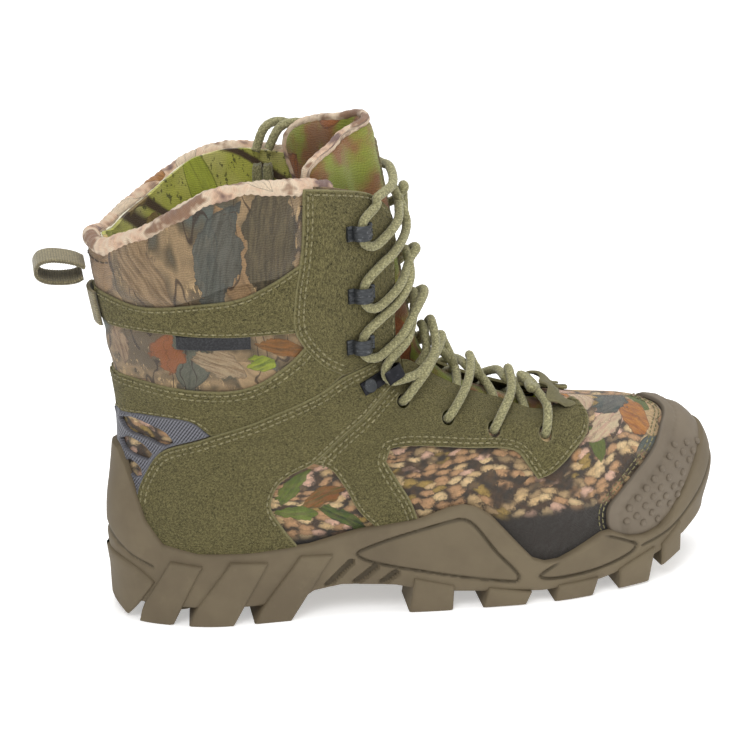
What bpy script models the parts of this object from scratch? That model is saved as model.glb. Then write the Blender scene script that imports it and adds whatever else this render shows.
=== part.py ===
"""Insulated lace-up hunting boot, right foot, size 43.

Every layer of the upper is a patch of one boot-shaped surface, the last. A point of
the last is named by t, its height from the feather edge (0) to the shaft's top (1), and
phi, its place round the boot: 0 at the heel's centreline, pi at the toe's, negative on
the outer (lateral) side and positive on the inner (medial) side. Layers are that
surface moved in or out along its normal.

Design lengths are in millimetres, measured forward from the heel, up from the ground
and across from the boot's middle; MM turns them into Blender's metres. ORIGIN is the
middle of the finished boot's footprint, which becomes the part's own origin.
+X points to the toe, -Y to the outer side, +Z up.
"""

import math

import bmesh
import bpy
import numpy as np
from mathutils import Vector
from mathutils.geometry import delaunay_2d_cdt

MM = 0.001
ORIGIN = (137.78, 3.32)

# The last's side view: t, heel x and z, front x and z.
LAST_PROFILE = np.array([
    (0.0, 4, 24, 296, 30), (0.1, 2, 40, 301, 52), (0.2, 2, 56, 292, 72),
    (0.3, 4, 72, 268, 84), (0.4, 6, 90, 232, 89), (0.5, 6, 106, 200, 97),
    (0.6, 5, 120, 170, 111), (0.7, 4, 134, 154, 130), (0.8, 1, 150, 149, 152),
    (0.9, -3, 180, 144, 185), (1.0, -3, 215, 138, 222),
])
# Half widths at these shares of the way from heel to front, on rows at these heights.
WIDTH_SHARES = np.array([0, 0.06, 0.16, 0.35, 0.55, 0.72, 0.86, 0.95, 1.0])
WIDTH_HEIGHTS = np.array([0, 0.2, 0.3, 0.4, 0.6, 0.8, 1.0])
HALF_WIDTHS = np.array([
    (0, 24, 34, 35, 43, 49, 43, 28, 0), (0, 24, 35, 38, 44, 44, 36, 23, 0),
    (0, 22, 34, 39, 41, 35, 24.5, 14.5, 0), (0, 20, 33, 38.5, 39, 32, 22, 13, 0),
    (0, 18, 30.5, 38, 38.5, 32, 23, 14, 0), (0, 19, 31, 40.5, 42, 37, 28, 17, 0),
    (0, 21, 33.5, 44, 46, 41, 31, 18.5, 0),
], float)
# How much wider or narrower the inner side is near the ground, at the same shares.
MEDIAL_SHARE = np.array([1, 1, 1, 0.9, 0.87, 0.97, 1.04, 1.0, 1])
TOE_SWING = 8.0  # the toe turns this far to the inner side

# The collar's rim, from the heel forward to the lace stays' corners.
RIM = [(-3, 191), (3, 189), (11, 194), (22, 199), (33, 206), (44, 212), (51, 216),
       (66, 219), (77, 219), (95, 217), (106, 215), (126, 208), (135, 200), (139, 193)]

# Layers of the upper: (inner, outer) distance from the last.
FABRIC = (-1.5, 0.0)
STIFFENER = (-3.0, -1.9)
LINING = (-6.6, -3.4)
COLLAR_LINING = (-9.2, -6.4)
COLLAR_FOAM = (-6.1, -1.8)
SUEDE = (0.9, 2.3)
HEEL_MESH = (1.1, 2.4)
WELT_GAP = 0.25  # a panel stops this far short of the seam that it shares

# The lattice of the panels: rows from the feather edge to the rim, columns a side.
ROWS, COLUMNS = 16, 20
ANKLE_ROW, COLLAR_ROW = 10, 14
SEAM_COLUMN = 9  # where the quarters meet the vamp
SHAFT_COLUMN = 17  # where the shaft's panels end under the lace stays

# The throat behind which fabric and lining stop: a line x, z and where it closes.
THROAT_LINE = [(130, 102), (158, 86), (182, 78), (209, 72), (221, 76)]
THROAT_CLOSED_X = 221
SHAFT_FRONT_X = 134
SHAFT_FRONT_Z = 125

# Sole
SOLE_TOP = [(5, 86), (9, 80), (12, 65), (15, 53), (22, 41), (38, 37), (66, 36), (91, 38),
            (116, 44), (145, 47), (159, 53), (169, 53), (179, 50), (194, 31), (206, 20),
            (221, 24), (235, 31), (249, 25), (263, 27), (273, 32), (282, 43), (290, 57),
            (297, 69)]
SOLE_STATIONS = 32
SOLE_INNER = 3.3
SOLE_OUTER_TOP = 4.9
SOLE_OUTER_LOW = 6.6
TREAD_Z = 9.0
FLOOR_Z = 13.6
FEATHER_TILT = 6.0 / 292.0  # the feather plane rises this much for each mm forward
MIDSOLE_TOP = 19.4
FEATHER_DROP = 1.8  # the lasting board lies this far under the feather plane
LOWEST_WALL = 0.03  # the rubber wall is at least this high, as a t
BOARD_THICKNESS = 2.0
FOOTBED_THICKNESS = 4.5
FOOTBED_TOE = 287.4
SHANK = (62.0, 178.0, 8.0, 1.4)  # from x, to x, half width, thickness

# Lacing
LACE_DIAMETER = 4.5
LACE_HOLES = [(140, 104), (162, 93), (185, 85), (211, 80)]
LACE_LOOPS = [(120, 191), (120, 161), (119, 136)]
HOOK = (123, 114.5)
TUBE_CLEARANCE = 0.3
TUBE_SIDES = 6
LOOP_WIDTH, LOOP_HEIGHT, LOOP_RISE, LOOP_WALL = 13.0, 7.5, 6.6, 1.2

WEBBING = (24.0, 1.6)  # width and thickness of the pull loop
LABEL = (0.9, 1.6)

# Joints
TONGUE_HINGE_Z = 218.0
TONGUE_HINGE_X = 138.4
PULL_HINGE = (-5.4, 174.0)


# ---- interpolation ---------------------------------------------------------------

def cubic(xs, ys, x):
    """A smooth curve through the rows of ys at xs, read at x."""
    x = min(max(x, xs[0]), xs[-1])
    i = int(np.clip(np.searchsorted(xs, x) - 1, 0, len(xs) - 2))
    h = xs[1:] - xs[:-1]
    slope = (ys[1:] - ys[:-1]) / h[:, None]
    tangent = np.concatenate([slope[:1], (slope[1:] + slope[:-1]) / 2, slope[-1:]])
    s = (x - xs[i]) / h[i]
    return ((2 * s**3 - 3 * s**2 + 1) * ys[i] + (s**3 - 2 * s**2 + s) * h[i] * tangent[i]
            + (3 * s**2 - 2 * s**3) * ys[i + 1] + (s**3 - s**2) * h[i] * tangent[i + 1])


def steady(xs, ys, x):
    """A curve through ys at xs that never overshoots, read at x."""
    x = min(max(x, xs[0]), xs[-1])
    i = int(np.clip(np.searchsorted(xs, x) - 1, 0, len(xs) - 2))
    h, d = np.diff(xs), np.diff(ys) / np.diff(xs)
    m = np.zeros(len(xs))
    m[0], m[-1] = d[0] * 1.3, d[-1] * 1.3
    for k in range(1, len(xs) - 1):
        if d[k - 1] * d[k] > 0:
            w1, w2 = 2 * h[k] + h[k - 1], h[k] + 2 * h[k - 1]
            m[k] = (w1 + w2) / (w1 / d[k - 1] + w2 / d[k])
    s = (x - xs[i]) / h[i]
    return ((2 * s**3 - 3 * s**2 + 1) * ys[i] + (s**3 - 2 * s**2 + s) * h[i] * m[i]
            + (3 * s**2 - 2 * s**3) * ys[i + 1] + (s**3 - s**2) * h[i] * m[i + 1])


def ease(x):
    """0 to 1 with soft ends."""
    x = min(max(x, 0.0), 1.0)
    return x * x * (3 - 2 * x)


# ---- the last --------------------------------------------------------------------

def profile(t):
    """Heel x, z and front x, z at height t; past the top it goes on straight."""
    row = cubic(LAST_PROFILE[:, 0], LAST_PROFILE[:, 1:], t)
    if t > 1:
        row = row + (t - 1) * 10 * (LAST_PROFILE[-1, 1:] - LAST_PROFILE[-2, 1:])
    return row


def half_width(t, share, side):
    """How far the last reaches from its middle line, at a share of the way forward."""
    widths = cubic(WIDTH_HEIGHTS, HALF_WIDTHS, t)
    if side > 0:
        widths = widths * (1 + (MEDIAL_SHARE - 1) * max(0.0, 1 - t / 0.6))
    return math.sqrt(max(steady(WIDTH_SHARES, widths**2, share), 0.0))


def middle_y(t, share):
    """The last's middle line, which swings inward at the toe."""
    return TOE_SWING * ease((share - 0.45) / 0.55) * max(0.0, 1 - t / 0.5)


def last(t, phi):
    """A point of the last, in mm."""
    phi = (phi + math.pi) % (2 * math.pi) - math.pi
    share = (1 - math.cos(phi)) / 2
    side = 1 if phi >= 0 else -1
    bx, bz, fx, fz = profile(t)
    y = middle_y(t, share) + side * half_width(t, share, side)
    return np.array([bx + (fx - bx) * share, y, bz + (fz - bz) * share])


def outward(t, phi):
    """The last's outward normal."""
    dt, dp = 0.01, 0.03
    along = last(t + dt, phi) - last(max(t - dt, 0), phi)
    round_ = last(t, phi + dp) - last(t, phi - dp)
    n = np.cross(along, round_)
    return n / np.linalg.norm(n)


def at(t, phi, off=0.0):
    """A point off the last by a distance along its normal."""
    return last(t, phi) + off * outward(t, phi)


def height_of(x, z):
    """The t of the row that passes through a side-view point."""
    low, high = 0.0, 1.2
    for _ in range(40):
        t = (low + high) / 2
        bx, bz, fx, fz = profile(t)
        if (x - bx) * (fz - bz) - (z - bz) * (fx - bx) < 0:
            low = t
        else:
            high = t
    return (low + high) / 2


def on_last(x, z, side=-1):
    """(t, phi) of a side-view point on one side of the boot."""
    t = height_of(x, z)
    bx, _, fx, _ = profile(t)
    share = min(max((x - bx) / (fx - bx), 0.0), 1.0)
    return t, side * math.acos(1 - 2 * share)


RIM_ANGLES = np.array([abs(on_last(x, z)[1]) for x, z in RIM])
RIM_HEIGHTS = np.array([height_of(x, z) for x, z in RIM])


def rim(phi):
    """The rim's t at a place round the boot."""
    phi = abs((phi + math.pi) % (2 * math.pi) - math.pi)
    return float(np.interp(phi, RIM_ANGLES, RIM_HEIGHTS))


def side_point(x, z, side, off):
    """A point in mm beside the boot, given in its side view."""
    return at(*on_last(x, z, side), off)


# ---- Blender objects -------------------------------------------------------------

def place(p):
    """A point in mm as Blender metres, from the part's own origin."""
    return Vector(((p[0] - ORIGIN[0]) * MM, (p[1] - ORIGIN[1]) * MM, p[2] * MM))


def finish_material(name, colour, roughness, metallic=0.0):
    """A Principled material."""
    material = bpy.data.materials.new(name)
    material.use_nodes = True
    shader = material.node_tree.nodes["Principled BSDF"]
    shader.inputs["Base Color"].default_value = (*colour, 1.0)
    shader.inputs["Roughness"].default_value = roughness
    shader.inputs["Metallic"].default_value = metallic
    return material


def add(name, bm, material, origin=None, smooth=None):
    """Links a mesh as one named object, with its origin moved to a point if one is given."""
    bmesh.ops.recalc_face_normals(bm, faces=bm.faces)
    if bm.calc_volume(signed=True) < 0:
        bmesh.ops.reverse_faces(bm, faces=bm.faces)
    if origin is not None:
        bmesh.ops.translate(bm, vec=-origin, verts=bm.verts)
    mesh = bpy.data.meshes.new(name)
    bm.to_mesh(mesh)
    bm.free()
    if smooth is not None:
        mesh.shade_smooth()
        mesh.set_sharp_from_angle(angle=math.radians(smooth))
    mesh.materials.append(material)
    part = bpy.data.objects.new(name, mesh)
    if origin is not None:
        part.location = origin
    bpy.context.collection.objects.link(part)
    return part


def offset_range(layer, t, phi):
    """A layer's inner and outer distance at a place, as it is a pair or a function."""
    return layer(t, phi) if callable(layer) else layer


def thick_patch(name, places, faces, layer, material, origin=None):
    """A closed shell over some (t, phi) places: an inner and an outer skin and its edges."""
    bm = bmesh.new()
    skins = []
    for side in (0, 1):
        skins.append([bm.verts.new(place(at(t, p, offset_range(layer, t, p)[side])))
                      for t, p in places])
    count = {}
    for face in faces:
        for a, b in zip(face, face[1:] + face[:1]):
            count[(a, b)] = count.get((a, b), 0) + 1
        bm.faces.new([skins[1][k] for k in face])
        bm.faces.new([skins[0][k] for k in reversed(face)])
    for a, b in count:
        if (b, a) not in count:
            bm.faces.new([skins[1][b], skins[1][a], skins[0][a], skins[0][b]])
    for vert in [v for v in bm.verts if not v.link_faces]:
        bm.verts.remove(vert)
    return add(name, bm, material, origin)


def column_angle(j):
    """The phi of a lattice column."""
    return j * math.pi / COLUMNS


def panel(name, rows, columns, layer, material, keep=None, seam=WELT_GAP):
    """A panel between two lattice rows and two columns, where keep(t, phi) allows it.
    It stops short of its neighbours by the seam gap."""
    r0, r1 = rows
    c0, c1 = columns
    places, index, faces = [], {}, []
    whole = c1 - c0 == 2 * COLUMNS
    for i in range(r0, r1 + 1):
        for j in range(c0, c1 + 1):
            if whole and j == c1:
                index[i, j] = index[i, c0]
                continue
            phi = column_angle(j)
            trim = seam / 45
            if not whole:
                phi += trim * (j == c0) - trim * (j == c1)
            t = i / ROWS * rim(phi)
            trim = seam / 190
            t += trim * (i == r0 and r0 > 0) - trim * (i == r1 and r1 < ROWS)
            index[i, j] = len(places)
            places.append((t, phi))
    for i in range(r0, r1):
        for j in range(c0, c1):
            corners = [index[i, j], index[i, j + 1], index[i + 1, j + 1], index[i + 1, j]]
            t = sum(places[k][0] for k in corners) / 4
            if keep is None or keep(t, column_angle(j + 0.5)):
                a, b, c, d = corners
                faces += [[a, b, c], [a, c, d]]
    return thick_patch(name, places, faces, layer, material)


def inside(point, loop):
    """Whether a flat point is inside a closed outline."""
    x, y = point
    hit = False
    for (x0, y0), (x1, y1) in zip(loop, loop[1:] + loop[:1]):
        if (y0 > y) != (y1 > y) and x < (x1 - x0) * (y - y0) / (y1 - y0) + x0:
            hit = not hit
    return hit


def gap_to(point, loop):
    """How far a flat point is from an outline."""
    p = np.array(point)
    best = 1e9
    for a, b in zip(loop, loop[1:] + loop[:1]):
        a, b = np.array(a), np.array(b)
        s = np.clip(np.dot(p - a, b - a) / max(np.dot(b - a, b - a), 1e-12), 0, 1)
        best = min(best, float(np.linalg.norm(a + s * (b - a) - p)))
    return best


def divided(points, step, closed=True):
    """An outline with no stretch longer than step."""
    out = []
    pairs = list(zip(points, points[1:] + points[:1]))
    for a, b in pairs if closed else pairs[:-1]:
        n = max(1, math.ceil(math.dist(a, b) / step))
        out += [tuple(np.array(a) + (np.array(b) - np.array(a)) * k / n) for k in range(n)]
    return out if closed else out + [points[-1]]


def drawn_in(points, by):
    """A closed outline moved inward by a small distance."""
    area = sum(a[0] * b[1] - b[0] * a[1] for a, b in zip(points, points[1:] + points[:1]))
    turn = 1 if area > 0 else -1
    out = []
    for k, p in enumerate(points):
        a, b = np.array(points[k - 1]), np.array(points[(k + 1) % len(points)])
        before, after = np.array(p) - a, b - np.array(p)
        before, after = before / np.linalg.norm(before), after / np.linalg.norm(after)
        normal = np.array([-(before + after)[1], (before + after)[0]]) * turn
        normal /= max(np.linalg.norm(normal), 1e-9)
        bend = max(0.5, abs(np.dot(normal, np.array([-after[1], after[0]]))))
        out.append(tuple(np.array(p) + normal * by / bend))
    return out


GIRTH = 50.0  # mm of outline for each radian of phi, and
RISE = 190.0  # mm for each unit of t, where flat shapes are triangulated


def cut_piece(name, outline, holes, layer, material, step=9.0, origin=None):
    """A cut piece of upper leather: an outline of (t, phi), any holes, and the lattice."""
    flat = [[(p * GIRTH, t * RISE) for t, p in loop] for loop in [outline] + holes]
    flat = [divided(flat[0], step)] + flat[1:]
    points, edges = [], []
    for loop in flat:
        first = len(points)
        points += loop
        edges += [(first + k, first + (k + 1) % len(loop)) for k in range(len(loop))]
    angles = [p for _, p in outline]
    for j in range(math.floor(min(angles) / math.pi * COLUMNS),
                   math.ceil(max(angles) / math.pi * COLUMNS) + 1):
        for i in range(ROWS + 1):
            phi = column_angle(j)
            p = (phi * GIRTH, i / ROWS * rim(phi) * RISE)
            if inside(p, flat[0]) and not any(inside(p, h) for h in flat[1:]):
                if all(gap_to(p, loop) > 0.35 * step for loop in flat):
                    points.append(p)
    made = delaunay_2d_cdt([Vector(p) for p in points], edges, [], 0, 1e-6)
    places = [(v[1] / RISE, v[0] / GIRTH) for v in made[0]]
    faces = []
    for face in made[2]:
        centre = tuple(sum(made[0][k][c] for k in face) / 3 for c in (0, 1))
        if inside(centre, flat[0]) and not any(inside(centre, h) for h in flat[1:]):
            faces.append(list(face))
    return thick_patch(name, places, faces, layer, material, origin)


def side_outline(points, side, gap=WELT_GAP):
    """A side-view outline as (t, phi) on one side, drawn in by the seam gap."""
    return [on_last(x, z, side) for x, z in drawn_in(divided(points, 9.0), gap)]


def wrapped_outline(points, front=False):
    """An outline drawn from centreline to centreline on the outer side, made to go
    round the heel, or round the front, by repeating it on the inner side."""
    one = [on_last(x, z, -1) for x, z in divided(points, 9.0, closed=False)]
    one = [one[0]] + one[1:-1] + [one[-1]]
    if front:
        one = [(t, -p) for t, p in one]
        return one + [(t, 2 * math.pi - p) for t, p in reversed(one[1:-1])]
    return one + [(t, -p) for t, p in reversed(one[1:-1])]


def round_hole(x, z, side, radius, sides=8):
    """A round punched hole as an outline of (t, phi)."""
    turn = [2 * math.pi * (k + 0.5) / sides for k in range(sides)]
    return [on_last(x + radius * math.cos(a), z + radius * math.sin(a), side) for a in turn]


# ---- the upper -------------------------------------------------------------------

def behind_throat(t, phi):
    """Whether fabric and lining cover this place, or the throat leaves it open."""
    x, _, z = last(t, phi)
    if x > THROAT_CLOSED_X:
        return True
    if z > SHAFT_FRONT_Z:
        return x < SHAFT_FRONT_X
    return x < THROAT_LINE[0][0] or z < np.interp(x, *np.array(THROAT_LINE, float).T)


def lining_layer(t, phi):
    """The lining steps inward under the padded collar."""
    row = t / rim(phi) * ROWS
    k = ease((row - (COLLAR_ROW - 2)) / 2)
    return tuple(a + (b - a) * k for a, b in zip(LINING, COLLAR_LINING))


def fabric_panels(cloth):
    """The camouflage fabric under the leather: vamp, quarters, ankle and collar."""
    seam = SEAM_COLUMN
    panel("vamp_fabric", (0, ANKLE_ROW), (seam, 2 * COLUMNS - seam), FABRIC, cloth,
          behind_throat)
    panel("quarter_fabric_lateral", (0, ANKLE_ROW), (-seam, 0), FABRIC, cloth)
    panel("quarter_fabric_medial", (0, ANKLE_ROW), (0, seam), FABRIC, cloth)
    span = (-SHAFT_COLUMN, SHAFT_COLUMN)
    panel("ankle_fabric", (ANKLE_ROW, COLLAR_ROW), span, FABRIC, cloth, behind_throat)
    panel("collar_fabric", (COLLAR_ROW, ROWS), span, FABRIC, cloth, behind_throat)


def inner_layers(lining, foam, board):
    """Lining, collar foam, heel counter and toe puff."""
    panel("insulated_lining", (0, ROWS), (-COLUMNS, COLUMNS), lining_layer, lining,
          behind_throat)
    panel("collar_foam", (COLLAR_ROW, ROWS), (-13, 13), COLLAR_FOAM, foam, seam=0)
    panel("heel_counter", (1, 7), (-7, 7), STIFFENER, board, seam=0)
    panel("toe_puff", (1, 4), (COLUMNS - 4, COLUMNS + 4), STIFFENER, board, seam=0)


def suede_pieces(suede, smooth):
    """The green suede cut pieces on both sides, and the ones that go round the heel."""
    cut_piece("collar_band", wrapped_outline([
        (-1, 167), (17, 162), (44, 164), (63, 166), (77, 172), (90.5, 179),
        (87.5, 163), (87.5, 147), (57, 147), (26, 149), (4, 150)]), [], SUEDE, suede)
    cut_piece("ankle_band", wrapped_outline([
        (4, 125), (20, 123), (42, 120), (66, 121), (85, 132), (92.5, 139), (99.5, 129),
        (110, 121.5), (94, 113.5), (70, 104.5), (45.5, 96.5), (37, 104), (17, 105),
        (6, 104)]), [], SUEDE, suede)
    for side, word in ((-1, "lateral"), (1, "medial")):
        cut_piece(f"upper_lace_stay_{word}", side_outline([
            (94, 216), (93, 196), (91, 180), (88, 163), (88, 147), (100, 129),
            (111, 121.5), (126, 126), (138, 131), (138, 148), (138.5, 160), (139, 172),
            (140, 185), (139, 193), (135, 200), (126, 208), (106, 214)], side),
            [], SUEDE, suede)
        cut_piece(f"heel_overlay_{word}", side_outline([
            (12, 64), (17, 77), (25, 88), (45, 96), (70, 104), (94, 113), (111, 121),
            (126, 125.5), (139, 130), (141, 116), (135, 112), (126, 105), (111, 94),
            (94, 80), (83, 75), (77, 70), (73, 59), (78, 48), (88, 33), (60, 32),
            (34, 32), (24, 36), (17, 41), (12, 51)], side), [], SUEDE, suede)
        cut_piece(f"lower_lace_stay_{word}", side_outline([
            (141.5, 115.5), (141, 123), (144, 122), (157, 112), (172, 103), (192, 95),
            (207, 89), (216, 88), (225, 88.5), (232, 88.5), (235, 86), (235.5, 82),
            (232, 77), (225, 73), (217, 68), (210, 64), (204, 63), (199, 71), (187, 77),
            (172, 79), (157, 82), (139, 84.5), (132, 84), (130, 78),
            (135, 68), (141, 57), (145, 47), (150, 33), (118, 33), (125, 43), (116, 53),
            (109, 67), (102, 77), (94.5, 80), (111, 94), (126, 105), (135, 112)], side),
            [round_hole(x, z, side, 3.95) for x, z in LACE_HOLES], SUEDE, suede)
    raised = wrapped_outline([(214, 92), (214, 89.2), (227, 89.3), (240, 87)], front=True)
    cut_piece("throat_tab", raised_tab_outline(raised), [], tab_layer, smooth)


def raised_tab_outline(outline):
    """The throat tab's outline, which crosses the ridge between the two lace stays."""
    return [on_last(214, 88, 1)] + [
        (t, p) for t, p in ((height_of(x, z), phi) for x, z, phi in (
            (216, 92, math.pi - 0.20), (216, 92.5, math.pi), (216, 92, math.pi + 0.20)))
    ] + [mirrored_round_front(on_last(214, 88, 1)), mirrored_round_front(on_last(230, 86, 1)),
         (height_of(238, 90), math.pi), on_last(230, 86, 1)]


def mirrored_round_front(spot):
    """The same place on the other side, counted on past the front centreline."""
    return spot[0], 2 * math.pi - spot[1]


def off_front(phi):
    """How far a place is from the front centreline, in radians."""
    return abs(abs((phi + math.pi) % (2 * math.pi) - math.pi) - math.pi)


def tab_layer(t, phi):
    """The tab stands clear of the bottom lace at its rear edge and lies down in front."""
    x = last(t, phi)[0]
    inner = SUEDE[1] + 0.4 + ease((236 - x) / 12) * (1.9 + 3.1 * ease(off_front(phi) / 0.38))
    return inner, inner + 1.3


def heel_and_toe(mesh_cloth, rubber):
    """The ribbed mesh cap over the heel and the rubber toe cap."""
    cut_piece("heel_mesh_cap", wrapped_outline([
        (6, 103.4), (17, 104.4), (37, 103.4), (44.6, 96.4), (25, 88.6), (16.4, 77.2),
        (11.4, 64), (11.4, 51), (12, 40), (3, 34)]), [], HEEL_MESH, mesh_cloth)
    edge = [(240, 34), (239, 44), (247, 51), (256, 59), (265, 66), (274, 75), (277, 81),
            (273, 84)]
    outline = [on_last(x, z, 1) for x, z in divided(edge, 9.0, closed=False)]
    crown = [(height_of(271, 83.6), math.pi)]
    sweep = [(0.02, math.pi + d) for d in (0.9, 0.6, 0.3, 0.0, -0.3, -0.6, -0.9)]
    other = [mirrored_round_front(s) for s in reversed(outline)]
    cut_piece("toe_cap", outline + crown + other + sweep, [], SUEDE, rubber)


def collar_piping(cloth):
    """The rolled edge along the rim, a padded tube from stay to stay round the heel."""
    angles = np.linspace(-2.3, 2.3, 31)
    points = [at(rim(a) + 0.022, a, -3.8) for a in angles]
    tube("collar_piping", points, 3.4, cloth)


def tube(name, points, radius, material):
    """A round tube along points, with filled ends."""
    curve = bpy.data.curves.new(name, "CURVE")
    curve.dimensions = "3D"
    spline = curve.splines.new("POLY")
    spline.points.add(len(points) - 1)
    for spot, p in zip(spline.points, points):
        spot.co = (*place(p), 1)
    curve.bevel_depth = radius * MM
    curve.bevel_resolution = TUBE_SIDES // 2 - 2
    curve.use_fill_caps = True
    curve.materials.append(material)
    part = bpy.data.objects.new(name, curve)
    bpy.context.collection.objects.link(part)
    return part


# ---- the tongue ------------------------------------------------------------------

def tongue_layer(t, phi):
    """The padded tongue crowns between the lace stays and lies under them at its wings."""
    k = ease((off_front(phi) - 0.12) / 0.42)
    crown = -1.2 - 3.2 * (1 - ease((t - 0.60) / 0.12))
    outer = crown + (-10.4 - crown) * k
    padding = 4.0 + 2.6 * ease((t - 0.6) / 0.2)
    return outer - padding, outer


def tongue_pieces(cloth, webbing):
    """The tongue below and above the crease that it folds at, and its front strip."""
    split = height_of(TONGUE_HINGE_X, TONGUE_HINGE_Z)
    wing, foot = 1.05, 0.50
    top_edge = [(split + 0.002, math.pi - wing), (split + 0.012, math.pi - wing + 0.05),
                (split + 0.035, math.pi - 0.7), (split + 0.052, math.pi - 0.35),
                (split + 0.057, math.pi), (split + 0.052, math.pi + 0.35),
                (split + 0.035, math.pi + 0.7), (split + 0.012, math.pi + wing - 0.05),
                (split + 0.002, math.pi + wing)]
    top_edge = [(t + 0.002, p) for t, p in top_edge]
    cut_piece("tongue_top", top_edge, [], tongue_layer, cloth, step=10,
              origin=place((TONGUE_HINGE_X, 0, TONGUE_HINGE_Z)))
    low = [(0.415, math.pi - foot), (0.55, math.pi - 0.7), (0.7, math.pi - 0.85),
           (0.85, math.pi - 0.95), (split - 0.004, math.pi - wing)]
    low += [(t, 2 * math.pi - p) for t, p in reversed(low)]
    cut_piece("tongue_lower", low, [], tongue_layer, cloth, step=14)
    strip = [(0.74, math.pi - 0.10), (split - 0.008, math.pi - 0.10),
             (split - 0.008, math.pi + 0.10), (0.74, math.pi + 0.10)]
    cut_piece("tongue_strip", strip, [], (-0.5, 0.5), webbing, step=16)


# ---- the sole --------------------------------------------------------------------

def feather_z(x):
    """The height of the feather plane, on which the upper is lasted."""
    return 24.0 + FEATHER_TILT * (x - 4.0)


def footprint(phi, grow):
    """A point of the feather outline, moved out level by a distance, as x and y."""
    p, n = last(0, phi), outward(0, phi)
    n = np.array([n[0], n[1]]) / math.hypot(n[0], n[1])
    return p[0] + n[0] * grow, p[1] + n[1] * grow


def wall_top(phi):
    """The t of the rubber wall's top edge, from its side-view outline."""
    share = (1 - math.cos(phi)) / 2
    t = 0.2
    for _ in range(25):
        bx, bz, fx, fz = profile(t)
        x = bx + (fx - bx) * share
        goal = np.interp(x, *np.array(SOLE_TOP, float).T)
        t += 0.5 * (goal - (bz + (fz - bz) * share)) / 170
    return max(t, LOWEST_WALL)


def sole_ring(bm, spot):
    """One ring of vertices round the sole."""
    return [bm.verts.new(place(spot(math.pi * k / SOLE_STATIONS)))
            for k in range(-SOLE_STATIONS, SOLE_STATIONS)]


def outsole(rubber):
    """The rubber cup sole: a floor, a wall that rises in peaks, and tread lugs."""
    bm = bmesh.new()
    rings = [sole_ring(bm, lambda p: (*footprint(p, SOLE_INNER), FLOOR_Z))]
    for share in (0.02, 0.36, 0.7, 1.0):
        rings.append(sole_ring(bm, lambda p, s=share: at(wall_top(p) * s, p, SOLE_INNER)))
    for share in (1.0, 0.7, 0.36, 0.02):
        grow = SOLE_OUTER_LOW + (SOLE_OUTER_TOP - SOLE_OUTER_LOW) * share
        rings.append(sole_ring(bm, lambda p, s=share, g=grow: at(wall_top(p) * s, p, g)))
    rings.append(sole_ring(bm, lambda p: (*footprint(p, 3.6), TREAD_Z)))
    for low, high in zip(rings, rings[1:]):
        for k in range(len(low)):
            n = (k + 1) % len(low)
            bm.faces.new([low[k], low[n], high[n], high[k]])
    bm.faces.new(rings[0])
    bm.faces.new(rings[-1])
    bmesh.ops.triangulate(bm, faces=[f for f in bm.faces if len(f.verts) > 4])
    body = add("outsole", bm, rubber)
    for place_in_row, lug in enumerate(tread_lugs()):
        join = body.modifiers.new(f"lug_{place_in_row}", "BOOLEAN")
        join.operation = "UNION"
        join.object = lug
    return body


def tread_lugs():
    """Tread blocks in three rows: two along the edges and one down the middle."""
    lugs = []
    edge_x = (12, 42, 74, 152, 184, 214, 244, 270)
    for x in edge_x:
        for side in (-1, 1):
            grow = -3.0
            phi = side * math.acos(1 - 2 * (x - 4) / 292)
            px, py = footprint(phi, grow)
            inner = 0.35 * py + 0.65 * middle_y(0, (x - 4) / 292)
            lugs.append(lug_block(px - 9, px + 11, inner, py))
    for x in (30, 62, 168, 200, 230):
        middle = middle_y(0, (x - 4) / 292)
        lugs.append(lug_block(x - 8, x + 8, middle - 7, middle + 7))
    return lugs


def lug_block(x0, x1, y0, y1):
    """One tread block, tapered to the ground, kept as a guide for the sole's union."""
    bm = bmesh.new()
    y0, y1 = min(y0, y1), max(y0, y1)
    corners = []
    for z, draw in ((0.0, 1.2), (TREAD_Z + 1.5, 0.0)):
        corners.append([bm.verts.new(place((x, y, z))) for x, y in (
            (x0 + draw, y0 + draw), (x1 - draw, y0 + draw),
            (x1 - draw, y1 - draw), (x0 + draw, y1 - draw))])
    bm.faces.new(reversed(corners[0]))
    bm.faces.new(corners[1])
    for k in range(4):
        n = (k + 1) % 4
        bm.faces.new([corners[0][k], corners[0][n], corners[1][n], corners[1][k]])
    lug = add("lug_guide", bm, None)
    lug.hide_render = True
    lug.display_type = "WIRE"
    return lug


def slab(name, grow, bottom, top, material, origin=None, stations=SOLE_STATIONS):
    """A flat layer with the foot's outline, between two surfaces z(x)."""
    bm = bmesh.new()
    rings = []
    for z in (bottom, top):
        ring = []
        for k in range(-stations, stations):
            x, y = footprint(math.pi * k / stations, grow)
            ring.append(bm.verts.new(place((x, y, z(x)))))
        rings.append(ring)
    bm.faces.new(reversed(rings[0]))
    bm.faces.new(rings[1])
    for k in range(2 * stations):
        n = (k + 1) % (2 * stations)
        bm.faces.new([rings[0][k], rings[0][n], rings[1][n], rings[1][k]])
    bmesh.ops.triangulate(bm, faces=[f for f in bm.faces if len(f.verts) > 4])
    return add(name, bm, material, origin)


def box(name, low, high, material):
    """A rectangular block between two corners in mm."""
    bm = bmesh.new()
    bmesh.ops.create_cube(bm, size=1)
    middle = (place(low) + place(high)) / 2
    size = place(high) - place(low)
    bmesh.ops.scale(bm, vec=size, verts=bm.verts)
    bmesh.ops.translate(bm, vec=middle, verts=bm.verts)
    return add(name, bm, material)


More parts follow.
